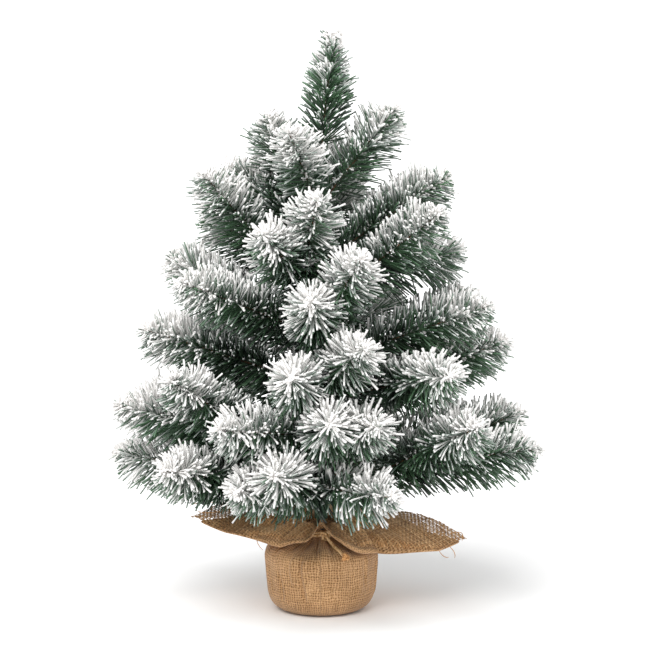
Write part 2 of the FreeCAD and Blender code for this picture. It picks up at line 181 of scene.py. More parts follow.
def make_piece(
    name: str, points: np.ndarray, faces: np.ndarray, *finishes: bpy.types.Material
) -> bpy.types.Object:
    """Make a mesh object at the origin from arrays, with light running over its edges.

    Args:
        name: name of the object.
        points: places of the vertices, in rows.
        faces: corner numbers, with as many in every face.
        *finishes: the materials it wears.

    Returns:
        The new object, linked to the scene.
    """
    mesh = bpy.data.meshes.new(name)
    corners = faces.shape[1]
    mesh.vertices.add(len(points))
    mesh.vertices.foreach_set("co", points.astype(np.float32).ravel())
    mesh.loops.add(faces.size)
    mesh.loops.foreach_set("vertex_index", faces.astype(np.int32).ravel())
    mesh.polygons.add(len(faces))
    mesh.polygons.foreach_set("loop_start", np.arange(0, faces.size, corners, dtype=np.int32))
    mesh.polygons.foreach_set("use_smooth", np.ones(len(faces), bool))
    mesh.update(calc_edges=True)
    for finish in finishes:
        mesh.materials.append(finish)
    piece = bpy.data.objects.new(name, mesh)
    bpy.context.scene.collection.objects.link(piece)
    return piece


def join(*shapes: tuple[np.ndarray, ...]) -> tuple[np.ndarray, ...]:
    """Join shapes, each of points, faces and any further values of its points, into one."""
    starts = np.cumsum([0] + [len(shape[0]) for shape in shapes])
    columns = [list(column) for column in zip(*shapes)]
    columns[1] = [faces + start for faces, start in zip(columns[1], starts)]
    return tuple(np.concatenate(column) for column in columns)


def mark_points(piece: bpy.types.Object, mark: Mark, values: np.ndarray) -> None:
    """Store one number for each vertex of a piece under a mark's name."""
    layer = piece.data.attributes.new(mark.value, "FLOAT", "POINT")
    layer.data.foreach_set("value", values.astype(np.float32).ravel())


def mark_map(piece: bpy.types.Object, mark: Mark, places: np.ndarray) -> None:
    """Give a piece a UV map from one place for each vertex."""
    corner = np.empty(len(piece.data.loops), np.int32)
    piece.data.loops.foreach_get("vertex_index", corner)
    layer = piece.data.uv_layers.new(name=mark.value)
    layer.uv.foreach_set("vector", places[corner].astype(np.float32).ravel())


def islands(node: str) -> list[np.ndarray]:
    """Find the separate solids of a CAD node.

    Points at the same place are merged, and then each triangle hands its lowest label to its
    corners until nothing changes.

    Args:
        node: name of the node.

    Returns:
        For each solid, its points in rows.
    """
    mesh = frame["nodes"][node].data
    points = np.empty(len(mesh.vertices) * 3)
    mesh.vertices.foreach_get("co", points)
    corner = np.empty(len(mesh.loops), np.int32)
    mesh.loops.foreach_get("vertex_index", corner)
    places, which = np.unique(points.reshape(-1, 3).round(6), axis=0, return_inverse=True)
    triangles = which.ravel()[corner].reshape(-1, 3)
    label = np.arange(len(places))
    while True:
        spread = label.copy()
        np.minimum.at(spread, triangles.ravel(), np.repeat(label[triangles].min(axis=1), 3))
        if (spread == label).all():
            return [places[label == value] for value in np.unique(label)]
        label = spread


# ------------------------------------------------------------------ finishes


def linear(colour: str) -> tuple[float, float, float, float]:
    """Turn an sRGB colour such as "#8a5a35" into linear light with full alpha."""
    parts = [int(colour[place : place + 2], 16) / 255.0 for place in (1, 3, 5)]
    light = [part / 12.92 if part <= 0.04045 else ((part + 0.055) / 1.055) ** 2.4 for part in parts]
    return (*light, 1.0)


def feed(node: bpy.types.Node, inputs: dict[str | int, object]) -> None:
    """Give a node's inputs, by name or number, constants or other nodes' outputs."""
    for name, value in inputs.items():
        if isinstance(value, bpy.types.NodeSocket):
            node.id_data.links.new(value, node.inputs[name])
        else:
            node.inputs[name].default_value = value


def add_node(
    tree: bpy.types.NodeTree,
    kind: str,
    inputs: dict[str | int, object] | None = None,
    output: str | int = 0,
    stops: dict[float, str] | None = None,
    **settings: object,
) -> bpy.types.NodeSocket:
    """Add a shader node.

    Args:
        tree: the material's node tree.
        kind: the node's type name, without the leading "ShaderNode".
        inputs: constants or other nodes' outputs for its inputs, by name or number.
        output: name or number of the output that is wanted.
        stops: sRGB colours by place from 0 to 1, for a colour ramp.
        **settings: properties of the node itself.

    Returns:
        The output that is wanted.
    """
    node = tree.nodes.new("ShaderNode" + kind)
    for name, value in settings.items():
        setattr(node, name, value)
    feed(node, inputs or {})
    if stops:
        steps = node.color_ramp.elements
        while len(steps) < len(stops):
            steps.new(0.5)
        for step, (place, colour) in zip(steps, sorted(stops.items())):
            step.position = place
            step.color = linear(colour)
    return node.outputs[output]


def new_material(name: str) -> tuple[bpy.types.Material, bpy.types.NodeTree, bpy.types.Node]:
    """Start a material and return it with its node tree and its Principled shader."""
    material = bpy.data.materials.new(name)
    material.use_nodes = True
    tree = material.node_tree
    return material, tree, tree.nodes["Principled BSDF"]


@dataclass(frozen=True)
class FlockedPvc:
    """Needles cut from dull green PVC film and dusted with white flock.

    The film is slightly glossy, and the flock is fluffy and dead matt.
    The mark SNOW says how much flock lies on a spot, and TONE how light its film is; TONE
    carries painted light on the top of each needle, and painted shade under it and deep inside.
    """

    name: str = "flocked_pvc_needles"
    dark_film: str = "#0a1910"
    light_film: str = "#577d59"
    frosted: str = "#8b9891"
    flock: str = "#f2f0ee"

    def build(self) -> bpy.types.Material:
        """Make the material."""
        material, tree, shader = new_material(self.name)
        snow = add_node(tree, "Attribute", output="Fac", attribute_name=Mark.SNOW.value)
        tone = add_node(tree, "Attribute", output="Fac", attribute_name=Mark.TONE.value)
        stops = {0.0: self.dark_film, 1.0: self.light_film}
        film = add_node(tree, "ValToRGB", {"Fac": tone}, stops=stops)
        stops = {0.0: self.frosted, 0.38: self.frosted, 0.74: self.flock}
        cover = add_node(tree, "ValToRGB", {"Fac": snow}, stops=stops)
        covered = {"Value": snow, "From Min": 0.08, "From Max": 0.5}
        share = add_node(tree, "MapRange", covered, interpolation_type="SMOOTHSTEP")
        blend = add_node(tree, "Mix", {0: share, 6: film, 7: cover}, output=2, data_type="RGBA")
        rough = add_node(tree, "MapRange", {"Value": snow, "To Min": 0.5, "To Max": 0.95})
        feed(shader, {"Base Color": blend, "Roughness": rough, "IOR": 1.53})
        return material


@dataclass(frozen=True)
class TwistedWireFinish:
    """Two soft steel wires twisted together, with a thin rust-brown lacquer, slightly worn."""

    name: str = "brown_lacquered_wire"
    lacquer: str = "#5a3a22"
    worn: str = "#7d5836"
    shade: str = "#2c1c10"

    def build(self) -> bpy.types.Material:
        """Make the material."""
        material, tree, shader = new_material(self.name)
        place = add_node(tree, "TexCoord", output="Object")
        stain = {"Vector": place, "Scale": 1.0 / (6 * MM), "Detail": 3.0}
        stain = add_node(tree, "TexNoise", stain)
        stops = {0.3: self.shade, 0.5: self.lacquer, 0.7: self.worn}
        colour = add_node(tree, "ValToRGB", {"Fac": stain}, stops=stops)
        feed(shader, {"Base Color": colour, "Roughness": 0.45, "Metallic": 0.2})
        return material


@dataclass(frozen=True)
class BurlapWeave:
    """Coarse plain-weave jute cloth, stiff and dry, with uneven threads and dark gaps.

    The cloth map gives places in metres along the weft and the warp. In each crossing the upper
    thread is a small pillow, long in its own direction, and the gaps between are dark.

    Attributes:
        name: what the finish is called.
        pitch: distance between threads.
        sway: how far the threads stray from straight lines.
        sway_size: length over which they do so.
        slub: thickness of the lumps in a thread.
        drawn_out: pace of the lumps along their thread, as a share of that across it.
        stain: size of the cloth's lighter and darker patches.
        relief: height of a thread over the gaps.
        gap: colour between the threads.
        thread: colour of most of a thread.
        light: colour of its crown.
    """

    name: str = "burlap_plain_weave"
    pitch: float = 2.7 * MM
    sway: float = 6.5 * MM
    sway_size: float = 14 * MM
    slub: float = 1.6 * MM
    drawn_out: float = 0.07
    stain: float = 45 * MM
    relief: float = 0.45 * MM
    gap: str = "#57391d"
    thread: str = "#a0774b"
    light: str = "#cfa578"

    def build(self) -> bpy.types.Material:
        """Make the material.

        Formula: with x and y the sines of the places along weft and warp, a thread of the warp
        is on top where x * y is above 0, and its pillow is |x| * |y|^0.35. The colour's place on
        the ramp is 0.2 of the pillow, 0.68 of the larger of |x| and |y|, the lumps and the stain.
        """
        material, tree, shader = new_material(self.name)
        place = add_node(tree, "UVMap", uv_map=Mark.CLOTH_MAP.value)
        noise = {"Vector": place, "Scale": 1.0 / self.sway_size, "Detail": 2.0}
        noise = add_node(tree, "TexNoise", noise, output="Color")
        noise = add_node(tree, "VectorMath", {0: noise, 1: (0.5, 0.5, 0.5)}, operation="SUBTRACT")
        moved = {0: noise, 1: (self.sway, self.sway, 0.0), 2: place}
        moved = add_node(tree, "VectorMath", moved, operation="MULTIPLY_ADD")
        turned = {0: moved, "Scale": math.pi / self.pitch}
        turned = add_node(tree, "VectorMath", turned, operation="SCALE")
        split = add_node(tree, "SeparateXYZ", {0: turned}).node
        warp = add_node(tree, "Math", {0: split.outputs["X"]}, operation="SINE")
        weft = add_node(tree, "Math", {0: split.outputs["Y"]}, operation="SINE")
        both = add_node(tree, "Math", {0: warp, 1: weft}, operation="MULTIPLY")
        over = add_node(tree, "Math", {0: both, 1: 0.0}, operation="GREATER_THAN")
        across = add_node(tree, "Math", {0: warp}, operation="ABSOLUTE")
        beside = add_node(tree, "Math", {0: weft}, operation="ABSOLUTE")
        pillow = {0: over}
        slub = {0: over}
        along_weft = (beside, across, (self.drawn_out, 1.0, 1.0))
        along_warp = (across, beside, (1.0, self.drawn_out, 1.0))
        for side, (own, other, pace) in enumerate((along_weft, along_warp), 2):
            ends = add_node(tree, "Math", {0: other, 1: 0.35}, operation="POWER")
            pillow[side] = add_node(tree, "Math", {0: own, 1: ends}, operation="MULTIPLY")
            lumps = add_node(tree, "Mapping", {"Vector": place, "Scale": pace})
            lumps = {"Vector": lumps, "Scale": 1.0 / self.slub, "Detail": 2.0}
            slub[side] = add_node(tree, "TexNoise", lumps)
        pillow = add_node(tree, "Mix", pillow, data_type="FLOAT")
        slub = add_node(tree, "Mix", slub, data_type="FLOAT")
        uneven = add_node(tree, "Math", {0: slub, 1: 1.3, 2: -0.65}, operation="MULTIPLY_ADD")
        stain = {"Vector": place, "Scale": 1.0 / self.stain, "Detail": 3.0}
        stain = add_node(tree, "TexNoise", stain)
        stain = add_node(tree, "Math", {0: stain, 1: 0.5, 2: -0.25}, operation="MULTIPLY_ADD")
        thread = add_node(tree, "Math", {0: across, 1: beside}, operation="MAXIMUM")
        level = add_node(tree, "Math", {0: pillow, 1: 0.2, 2: -0.02}, operation="MULTIPLY_ADD")
        level = add_node(tree, "Math", {0: thread, 1: 0.68, 2: level}, operation="MULTIPLY_ADD")
        level = add_node(tree, "Math", {0: level, 1: uneven}, operation="ADD")
        level = add_node(tree, "Math", {0: level, 1: stain}, operation="ADD")
        stops = {0.1: self.gap, 0.5: self.thread, 1.0: self.light}
        colour = add_node(tree, "ValToRGB", {"Fac": level}, stops=stops)
        relief = add_node(tree, "Math", {0: uneven, 1: 0.5, 2: pillow}, operation="MULTIPLY_ADD")
        bump = {"Height": relief, "Strength": 0.8, "Distance": self.relief}
        bump = add_node(tree, "Bump", bump)
        feed(
            shader,
            {"Base Color": colour, "Normal": bump, "Roughness": 0.9, "Sheen Weight": 0.15},
        )
        return material


@dataclass(frozen=True)
class JuteFibre:
    """Jute threads and twine, dry and fibrous; TONE says how light a spot of a thread is.

    Attributes:
        name: what the finish is called.
        shade: colour of the darkest spots, which on the burlap threads are painted shade.
        thread: colour of most of the thread.
        light: colour of the fibres that stand out.
    """

    name: str
    shade: str
    thread: str
    light: str

    def build(self) -> bpy.types.Material:
        """Make the material."""
        material, tree, shader = new_material(self.name)
        tone = add_node(tree, "Attribute", output="Fac", attribute_name=Mark.TONE.value)
        stops = {0.0: self.shade, 0.5: self.thread, 1.0: self.light}
        colour = add_node(tree, "ValToRGB", {"Fac": tone}, stops=stops)
        feed(shader, {"Base Color": colour, "Roughness": 0.9, "Sheen Weight": 0.2})
        return material


@dataclass(frozen=True)
class PottingFinish:
    """A hard finish with a fine stain, for the parts that the cloth and the needles hide.

    Attributes:
        name: what the finish is called.
        dark: colour of its darker spots.
        light: colour of its lighter spots.
        grain: size of the spots.
        roughness: how matt it is.
        relief: depth of its grain.
        metallic: 1 for bare metal.
        squash: how much the spots are drawn out round the pole.
    """

    name: str
    dark: str
    light: str
    grain: float
    roughness: float
    relief: float
    metallic: float = 0.0
    squash: float = 1.0

    def build(self) -> bpy.types.Material:
        """Make the material."""
        material, tree, shader = new_material(self.name)
        place = add_node(tree, "TexCoord", output="Object")
        place = add_node(tree, "Mapping", {"Vector": place, "Scale": (1.0, 1.0, self.squash)})
        noise = {"Vector": place, "Scale": 1.0 / self.grain, "Detail": 5.0}
        noise = add_node(tree, "TexNoise", noise)
        stops = {0.35: self.dark, 0.65: self.light}
        colour = add_node(tree, "ValToRGB", {"Fac": noise}, stops=stops)
        bump = {"Height": noise, "Strength": 0.6, "Distance": self.relief}
        bump = add_node(tree, "Bump", bump)
        feed(shader, {"Base Color": colour, "Normal": bump})
        feed(shader, {"Roughness": self.roughness, "Metallic": self.metallic})
        return material


class Jute(Enum):
    """Finishes of the jute pieces."""

    # threads of the spread burlap: greyish tan, dull
    THREADS = JuteFibre("burlap_threads", "#74491f", "#c4905a", "#ecc28d")
    # twisted garden twine: paler than the cloth, with bright fibres
    TWINE = JuteFibre("twisted_jute_twine", "#7a5024", "#cd9b60", "#f5d5a2")
    # knot at the twine's end: rusty where the fibres are crushed
    FRAYED_KNOT = JuteFibre("frayed_twine_knot", "#7c4a22", "#bb8148", "#dfae72")


class Hidden(Enum):
    """Finishes of the CAD parts that keep their own shape."""

    # pot_shell: thin moulded pot, brown and faintly glossy
    POT = PottingFinish("moulded_brown_plastic", "#3a2a1d", "#4a3727", 3 * MM, 0.4, 0.05 * MM)
    # cement_fill: grey, sandy and dusty
    CEMENT = PottingFinish("poured_cement", "#8b8883", "#aaa7a0", 2 * MM, 0.95, 0.4 * MM)
    # trunk_pole: bright drawn steel
    POLE = PottingFinish("drawn_steel", "#6d7072", "#8d9092", 4 * MM, 0.35, 0.02 * MM, 1.0, 0.1)
    # wire_tails: rust-brown lacquered wire
    TAILS = PottingFinish("brown_lacquered_tails", "#5b351b", "#8a5a35", 5 * MM, 0.45, 0.05 * MM)
    # binding_tape: waxy green crepe tape, wrapped round and round
    TAPE = PottingFinish("green_crepe_tape", "#1c3020", "#31513a", 6 * MM, 0.7, 0.5 * MM, 0.0, 6.0)


# ------------------------------------------------------------------ branches


@dataclass(frozen=True)
class Twig:
    """One straight wire with needles.

    Attributes:
        start: where the wire starts.
        way: unit vector along it.
        length: from its start to the tip of its needles.
        bare: length next to the start that has no needles.
    """

    start: np.ndarray
    way: np.ndarray
    length: float
    bare: float


@dataclass(frozen=True)
class Brush:
    """How needles stand on a twig.

    Attributes:
        per_metre: needles on a metre of wire.
        past_wire: how far the needles reach past the end of the solid wire.
        end_bare: how far the last needle's root is from the tip of the needles.
        short: length of a needle at the tip.
        long: length of a needle further in.
        taper: stretch over which short needles turn into long ones.
        closed_angle: lean of the needles from the wire at the tip.
        open_angle: lean further in.
        opening: stretch over which the lean grows.
        pitch: length over which the strip of needles winds once round the wire.
        arms: rows of needles that wind together.
        film_radius: half the thickness of a bare needle.
        flock_radius: how much full flock adds to that.
        stations: shares of a needle's length at which it has a ring of points.
        girth: thickness at each station, as a share.
        stubs: share of the needles that are broken short beside the wire.
        tip_stubs: how much larger that share is at the tip.
        crowded: stretch from the tip over which that goes.
        stub: length of those.
        crowding: power below 1 that sets the roots closer towards the tip.
        disorder: sway of a needle's turn about the wire, as a share of a full turn.
        uneven: lowest and highest share of their length that needles have.
        hanging: how much longer needles are that hang below the wire, far in.
        far_in: stretch from the tip over which they get so.
        raised: degrees that a needle above the wire leans out more, and one below less.
        scatter: sway of the lean, in degrees.
        clump: how strongly neighbours lean together.
        forward: how much shorter the needles are that point forward at the tip.
    """

    per_metre: float = 4300.0
    past_wire: float = 14.5 * MM
    end_bare: float = 5.5 * MM
    short: float = 12 * MM
    long: float = 34 * MM
    taper: float = 44 * MM
    closed_angle: float = 60.0
    open_angle: float = 62.0
    opening: float = 26 * MM
    pitch: float = 8.6 * MM
    arms: int = 3
    film_radius: float = 0.66 * MM
    flock_radius: float = 0.6 * MM
    stations: tuple[float, ...] = (0.0, 0.3, 0.58, 0.82, 1.0)
    girth: tuple[float, ...] = (0.75, 0.9, 1.0, 1.15, 1.08)
    stubs: float = 0.17
    tip_stubs: float = 0.24
    crowded: tuple[float, float] = (8 * MM, 24 * MM)
    stub: float = 6.5 * MM
    crowding: float = 0.78
    disorder: float = 0.075
    uneven: tuple[float, float] = (0.87, 1.04)
    hanging: float = 0.2
    far_in: tuple[float, float] = (35 * MM, 80 * MM)
    raised: float = 9.0
    scatter: float = 5.0
    clump: float = 0.16
    forward: float = 0.28


@dataclass(frozen=True)
class Flocking:
    """What adds up to a needle's flock and to the tone of its film, both from 0 to 1.

    Attributes:
        inside: flock deep inside the tree, where little of the spray came.
        outside: more of it on the outer part of a twig.
        outer: stretch from the tip over which that fades.
        patches: sway from one clump of needles to the next.
        single: sway from needle to needle.
        broken: more on needles that are broken short.
        above: more on needles above the wire, and less on those below.
        evened: share of that which is lost on the outer part of a twig.
        leftward: more for each metre to the left.
        last: more on the last needles of a twig.
        forward: more on those of them that point forward.
        outward: growth along a needle, from its root to its end.
        top: more on top of a needle, and less under it.
        facing: more on its side away from the trunk.
        lumps: sway from point to point of a needle.
        tone: how light the film is.
        tone_patches: its sway from one clump of needles to the next.
        tone_single: its sway from needle to needle.
        painted_shade_inside: painted shade, by which the film is made darker deep inside the tree.
        shaded: stretch from the tip over which that painted shade grows.
    """

    inside: float = -0.36
    outside: float = 0.83
    outer: tuple[float, float] = (24 * MM, 115 * MM)
    patches: float = 0.26
    single: float = 0.22
    broken: float = 0.55
    above: float = 0.4
    evened: float = 0.4
    leftward: float = 0.4
    last: float = 0.26
    forward: float = 0.2
    outward: float = 1.2
    top: float = 0.22
    facing: float = 0.3
    lumps: float = 0.24
    tone: float = 0.55
    tone_patches: float = 0.22
    tone_single: float = 0.3
    # painted shade: how much darker the film is made deep inside the tree
    painted_shade_inside: float = 0.36
    shaded: tuple[float, float] = (50 * MM, 120 * MM)


# the upright tip: thicker needles, a little fewer and closer to the wire, whose lengths and
# leans grow over a longer stretch
LEADER_BRUSH = Brush(
    per_metre=4000.0,
    past_wire=17.5 * MM,
    short=13 * MM,
    long=33 * MM,
    taper=84 * MM,
    closed_angle=50.0,
    open_angle=57.0,
    opening=50 * MM,
    film_radius=0.8 * MM,
    flock_radius=0.7 * MM,
)


@dataclass
class NeedleBranch:
    """The flocked needles of one bending body.

    Attributes:
        body: name of the body.
        seed: start of its random draws.
        brush: how its needles stand.
        heavy: extra flock on the whole branch.
        flocking: what adds up to the flock on its needles.
    """

    body: str
    seed: int
    brush: Brush = Brush()
    heavy: float = 0.0
    flocking: Flocking = Flocking()

    def pivot(self) -> np.ndarray:
        """Place of the joint that the body bends about."""
        joint = next(one for one in frame["joints"] if one["child"] == self.body)
        return np.array(joint["pos_m"])

    def twigs(self) -> list[Twig]:
        """Read the straight wires from the body's wire solids, the main one first.

        The far end of each is the middle of its end face. The main wire starts at the joint, and
        a side wire at the middle of its own near end.
        """
        pivot = self.pivot()
        solids = islands(f"{self.body}_wire")
        solids.sort(key=lambda points: np.linalg.norm(points - pivot, axis=1).min())
        found = []
        for number, points in enumerate(solids):
            far = points[np.linalg.norm(points - pivot, axis=1).argmax()]
            near = points[np.linalg.norm(points - far, axis=1).argmax()]
            along = (points - near) @ unit(far - near)
            end = points[along > along.max() - 0.3 * MM].mean(axis=0)
            start = points[along < along.min() + 2.5 * MM].mean(axis=0) if number else pivot
            length = float(np.linalg.norm(end - start)) + self.brush.past_wire
            found.append(Twig(start, unit(end - start), length, 3 * MM if number else 7 * MM))
        return found

    def grow(self, twig: Twig, draw: np.random.Generator) -> dict[str, np.ndarray]:
        """Place the needles of one twig.

        The needles are a fringe wound round the wire, so their turn about it grows with their
        distance along it, in a few rows, with some disorder. Each leans forward by an angle that
        grows from the tip inwards, less below the wire than above it, and neighbours lean
        together in small clumps. Some are broken short, and flock cakes on those like beads.

        Args:
            twig: the wire that they stand on.
            draw: source of random numbers.

        Returns:
            Roots, ways, curls, lengths, flock, tone and nearness to the tip of the needles.
        """
        brush = self.brush
        flock = self.flocking
        room = twig.length - brush.end_bare - twig.bare
        count = int(room * brush.per_metre)
        share = (np.arange(count) + draw.uniform(0.0, 1.0, count)) / count
        along = twig.bare + room * share**brush.crowding
        left = twig.length - along
        side, above = square_to(twig.way[None, :])
        wind = along / brush.pitch + draw.integers(0, brush.arms, count) / brush.arms
        turn = 2.0 * math.pi * (wind + draw.uniform() + brush.disorder * draw.normal(size=count))
        out = turned(turn, side, above)
        roots = twig.start + along[:, None] * twig.way + out * 0.6 * MM
        height = out[:, 2]

        reach = brush.short + (brush.long - brush.short) * smooth(brush.end_bare, brush.taper, left)
        lengths = reach * draw.uniform(*brush.uneven, count)
        below = brush.hanging * np.clip(-height, 0.0, 1.0)
        lengths = lengths * (1.0 + below * smooth(*brush.far_in, left))
        crowded = brush.stubs + brush.tip_stubs * (1.0 - smooth(*brush.crowded, left))
        broken = draw.uniform(0.0, 1.0, count) < crowded
        lengths = np.where(broken, brush.stub * draw.uniform(0.6, 1.1, count), lengths)
        opened = smooth(brush.end_bare, brush.opening, left)
        angle = brush.closed_angle + (brush.open_angle - brush.closed_angle) * opened
        angle = angle + brush.raised * height * (0.5 + 0.5 * opened)
        angle = angle + brush.scatter * draw.normal(size=count)
        last = left < brush.end_bare + 5 * MM
        angle = np.where(last, angle * draw.uniform(0.0, 1.45, count), angle)
        forward = last * np.clip(1.0 - angle / 60.0, 0.0, 1.0)
        lengths = lengths * (1.0 - brush.forward * forward)
        lean = np.radians(angle)
        ways = np.cos(lean)[:, None] * twig.way + np.sin(lean)[:, None] * out
        tips = roots + ways * lengths[:, None]
        clump = [Ripple(10 * MM, self.seed + 40 + axis).at(tips) for axis in range(3)]
        ways = unit(ways + brush.clump * np.stack(clump, axis=-1))

        patch = Ripple(30 * MM, self.seed + 7).at(tips)
        fine = draw.uniform(-1.0, 1.0, count)
        close = 1.0 - smooth(*flock.outer, left)
        loose = (0.03 + 0.07 * close)[:, None] * draw.normal(size=(count, 3))
        snow = flock.inside + flock.outside * close + flock.patches * patch + flock.single * fine
        snow = snow + self.heavy + flock.broken * broken - flock.leftward * tips[:, 0]
        snow = snow + flock.above * height * (1.0 - flock.evened * close)
        snow = snow + flock.last * last + flock.forward * forward
        tone = flock.tone + flock.tone_patches * Ripple(60 * MM, self.seed + 3).at(tips)
        tone = tone + flock.tone_single * draw.uniform(-1, 1, count)
        return {
            "roots": roots,
            "ways": ways,
            "curls": 0.07 * twig.way + loose - 0.05 * UP,
            "lengths": lengths,
            "snow": snow,
            # painted shade: the film is made darker deep inside the tree, far from the twig's tip
            "tone": tone - flock.painted_shade_inside * smooth(*flock.shaded, left),
            "close": close,
        }

    def flesh_out(
        self, needles: dict[str, np.ndarray], draw: np.random.Generator
    ) -> tuple[np.ndarray, ...]:
        """Give every needle its four-sided body.

        Formula: a point of the middle line at share t is root + length * (t * way + t^2 * curl),
        and each ring lies square to the way at the radius of the film plus that of the flock.
        Flock gathers in small lumps on the outer half, on top and on the side away from the
        trunk, where it was sprayed from.

        Args:
            needles: what grow returns.
            draw: source of random numbers.

        Returns:
            Points, faces, flock and tone, the last two for each point.
        """
        brush = self.brush
        flock = self.flocking
        share = np.array(brush.stations)
        path = share[None, :, None] * needles["ways"][:, None, :]
        path = path + (share**2)[None, :, None] * needles["curls"][:, None, :]
        middle = needles["roots"][:, None, :] + needles["lengths"][:, None, None] * path
        side, above = square_to(needles["ways"])
        turn = 2.0 * math.pi * (np.arange(4) + 0.5) / 4
        ring = turned(turn, side[:, None], above[:, None])
        height = ring[:, None, :, 2]
        away = unit(needles["roots"] * np.array((1.0, 1.0, 0.0)))
        facing = (ring @ away[:, :, None])[:, None, :, 0]
        grown = flock.outward * (share - 0.48)[None, :, None]
        grown = grown * (1.0 - 0.72 * needles["close"])[:, None, None]
        lumps = draw.uniform(-1.0, 1.0, (len(middle), len(share), 4))
        snow = needles["snow"][:, None, None] + grown + flock.top * height
        snow = np.clip(snow + flock.facing * facing + flock.lumps * lumps, 0.0, 1.0)
        radius = brush.film_radius + brush.flock_radius * smooth(0.25, 1.0, snow)
        radius = radius * np.array(brush.girth)[None, :, None]
        points = middle[:, :, None, :] + radius[..., None] * ring[:, None, :, :]
        # painted light and shade: the film is lighter on the upper side of each needle and darker
        # underneath; it also gets lighter towards the needle's end
        tone = needles["tone"][:, None, None] + 0.12 * height + 0.1 * share[None, :, None]
        tone = np.broadcast_to(np.clip(tone, 0.0, 1.0), snow.shape)

        rings = len(share)
        cap = np.array([[0, 1, 2, 3]]) + 4 * (rings - 1)
        own = np.concatenate([strip_faces(rings, 4, True), cap])[:, ::-1]
        start = np.arange(len(middle))[:, None, None] * rings * 4
        return points.reshape(-1, 3), (own + start).reshape(-1, 4), snow.ravel(), tone.ravel()

    def build(self, finish: bpy.types.Material) -> None:
        """Grow the needles of all the body's twigs as one piece, and hang it on the body."""
        draw = np.random.default_rng(self.seed)
        grown = [self.grow(twig, draw) for twig in self.twigs()]
        needles = {key: np.concatenate([one[key] for one in grown]) for key in grown[0]}
        points, faces, snow, tone = self.flesh_out(needles, draw)
        piece = make_piece(f"{self.body}_flocked_needles", points, faces, finish)
        mark_points(piece, Mark.SNOW, snow)
        mark_points(piece, Mark.TONE, tone)
        mark_map(piece, Mark.BAKE_MAP, np.stack([snow, tone], axis=-1))
        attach(piece, self.body)
        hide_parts(f"{self.body}_needles")
        log.info("%s: %d needles, %d faces", piece.name, len(needles["lengths"]), len(faces))


# ------------------------------------------------------------------ wire, twine, cloth


def ring_frames(path: np.ndarray, closed: bool) -> tuple[np.ndarray, np.ndarray]:
    """Two vectors square to a path at each of its points, turning as little as possible.

    Formula: the first sideways vector is square to the first way, and each next one is the last
    one with its part along the new way taken off.

    Args:
        path: points in rows.
        closed: whether the last point joins the first.

    Returns:
        Sideways vectors, and the ones square to them and to the path.
    """
    if closed:
        ways = unit(np.roll(path, -1, axis=0) - np.roll(path, 1, axis=0))
    else:
        ways = unit(np.gradient(path, axis=0))
    side = np.empty_like(ways)
    side[0] = square_to(ways[:1])[0][0]
    for index in range(1, len(ways)):
        side[index] = side[index - 1] - ways[index] * (side[index - 1] @ ways[index])
        side[index] /= np.linalg.norm(side[index])
    return side, np.cross(ways, side)


def tube(
    path: np.ndarray, radius: np.ndarray | float, sides: int, closed: bool = False
) -> tuple[np.ndarray, np.ndarray]:
    """Carry a circle along a path.

    Args:
        path: points in rows.
        radius: the circle's radius, the same all along or one for each point.
        sides: corners of the circle.
        closed: whether the last ring joins the first.

    Returns:
        Points and four-cornered faces. The ends of an open tube are drawn in by its radii.
    """
    side, above = ring_frames(path, closed)
    turn = 2.0 * math.pi * np.arange(sides) / sides
    radius = np.broadcast_to(np.asarray(radius, float), (len(path),))
    points = path[:, None] + radius[:, None, None] * turned(turn, side[:, None], above[:, None])
    faces = strip_faces(len(path), sides, True)
    if closed:
        last = (len(path) - 1) * sides
        here = np.arange(sides)
        beside = (here + 1) % sides
        start = np.roll(here, -match_turn(points[-1], points[0]))
        start_next = np.roll(start, -1)
        faces = np.concatenate(
            [faces, np.stack([last + here, last + beside, start_next, start], axis=-1)]
        )
    return points.reshape(-1, 3), faces


def match_turn(last: np.ndarray, first: np.ndarray) -> int:
    """Steps to turn the first ring so that its corners lie nearest to the last ring's."""
    costs = [np.linalg.norm(last - np.roll(first, -step, axis=0)) for step in range(len(first))]
    return int(np.argmin(costs))


def strands(
    path: np.ndarray,
    count: int,
    radius: float,
    thickness: float,
    pitch: float,
    sides: int,
    closed: bool = False,
) -> tuple[np.ndarray, np.ndarray, np.ndarray]:
    """Twist thin tubes round a path.

    Formula: the middle of a strand at length s is the path's point plus the radius times the
    vector at the angle 2 pi (s / pitch + strand / count) in the plane square to the path.

    Args:
        path: points in rows, a small part of the pitch apart.
        count: number of strands.
        radius: how far their middles lie from the path.
        thickness: radius of a strand.
        pitch: length of one turn.
        sides: corners of a strand's section.
        closed: whether the path is a loop.

    Returns:
        Points, faces, and for each point its strand's number.
    """
    side, above = ring_frames(path, closed)
    length = run_length(path)
    shapes = []
    for strand in range(count):
        turn = 2.0 * math.pi * (length / pitch + strand / count)
        middle = path + radius * turned(turn, side, above)
        drawn_in = np.full(len(path), thickness)
        if not closed:
            drawn_in[[0, -1]] = 0.02 * MM
        points, faces = tube(middle, drawn_in, sides, closed)
        shapes.append((points, faces, np.full(len(points), strand)))
    return join(*shapes)


def even_path(points: np.ndarray, step: float) -> np.ndarray:
    """Points at even steps along a polyline."""
    length = run_length(points)
    places = np.linspace(0.0, length[-1], max(4, int(length[-1] / step)))
    return np.stack([np.interp(places, length, points[:, axis]) for axis in range(3)], axis=-1)


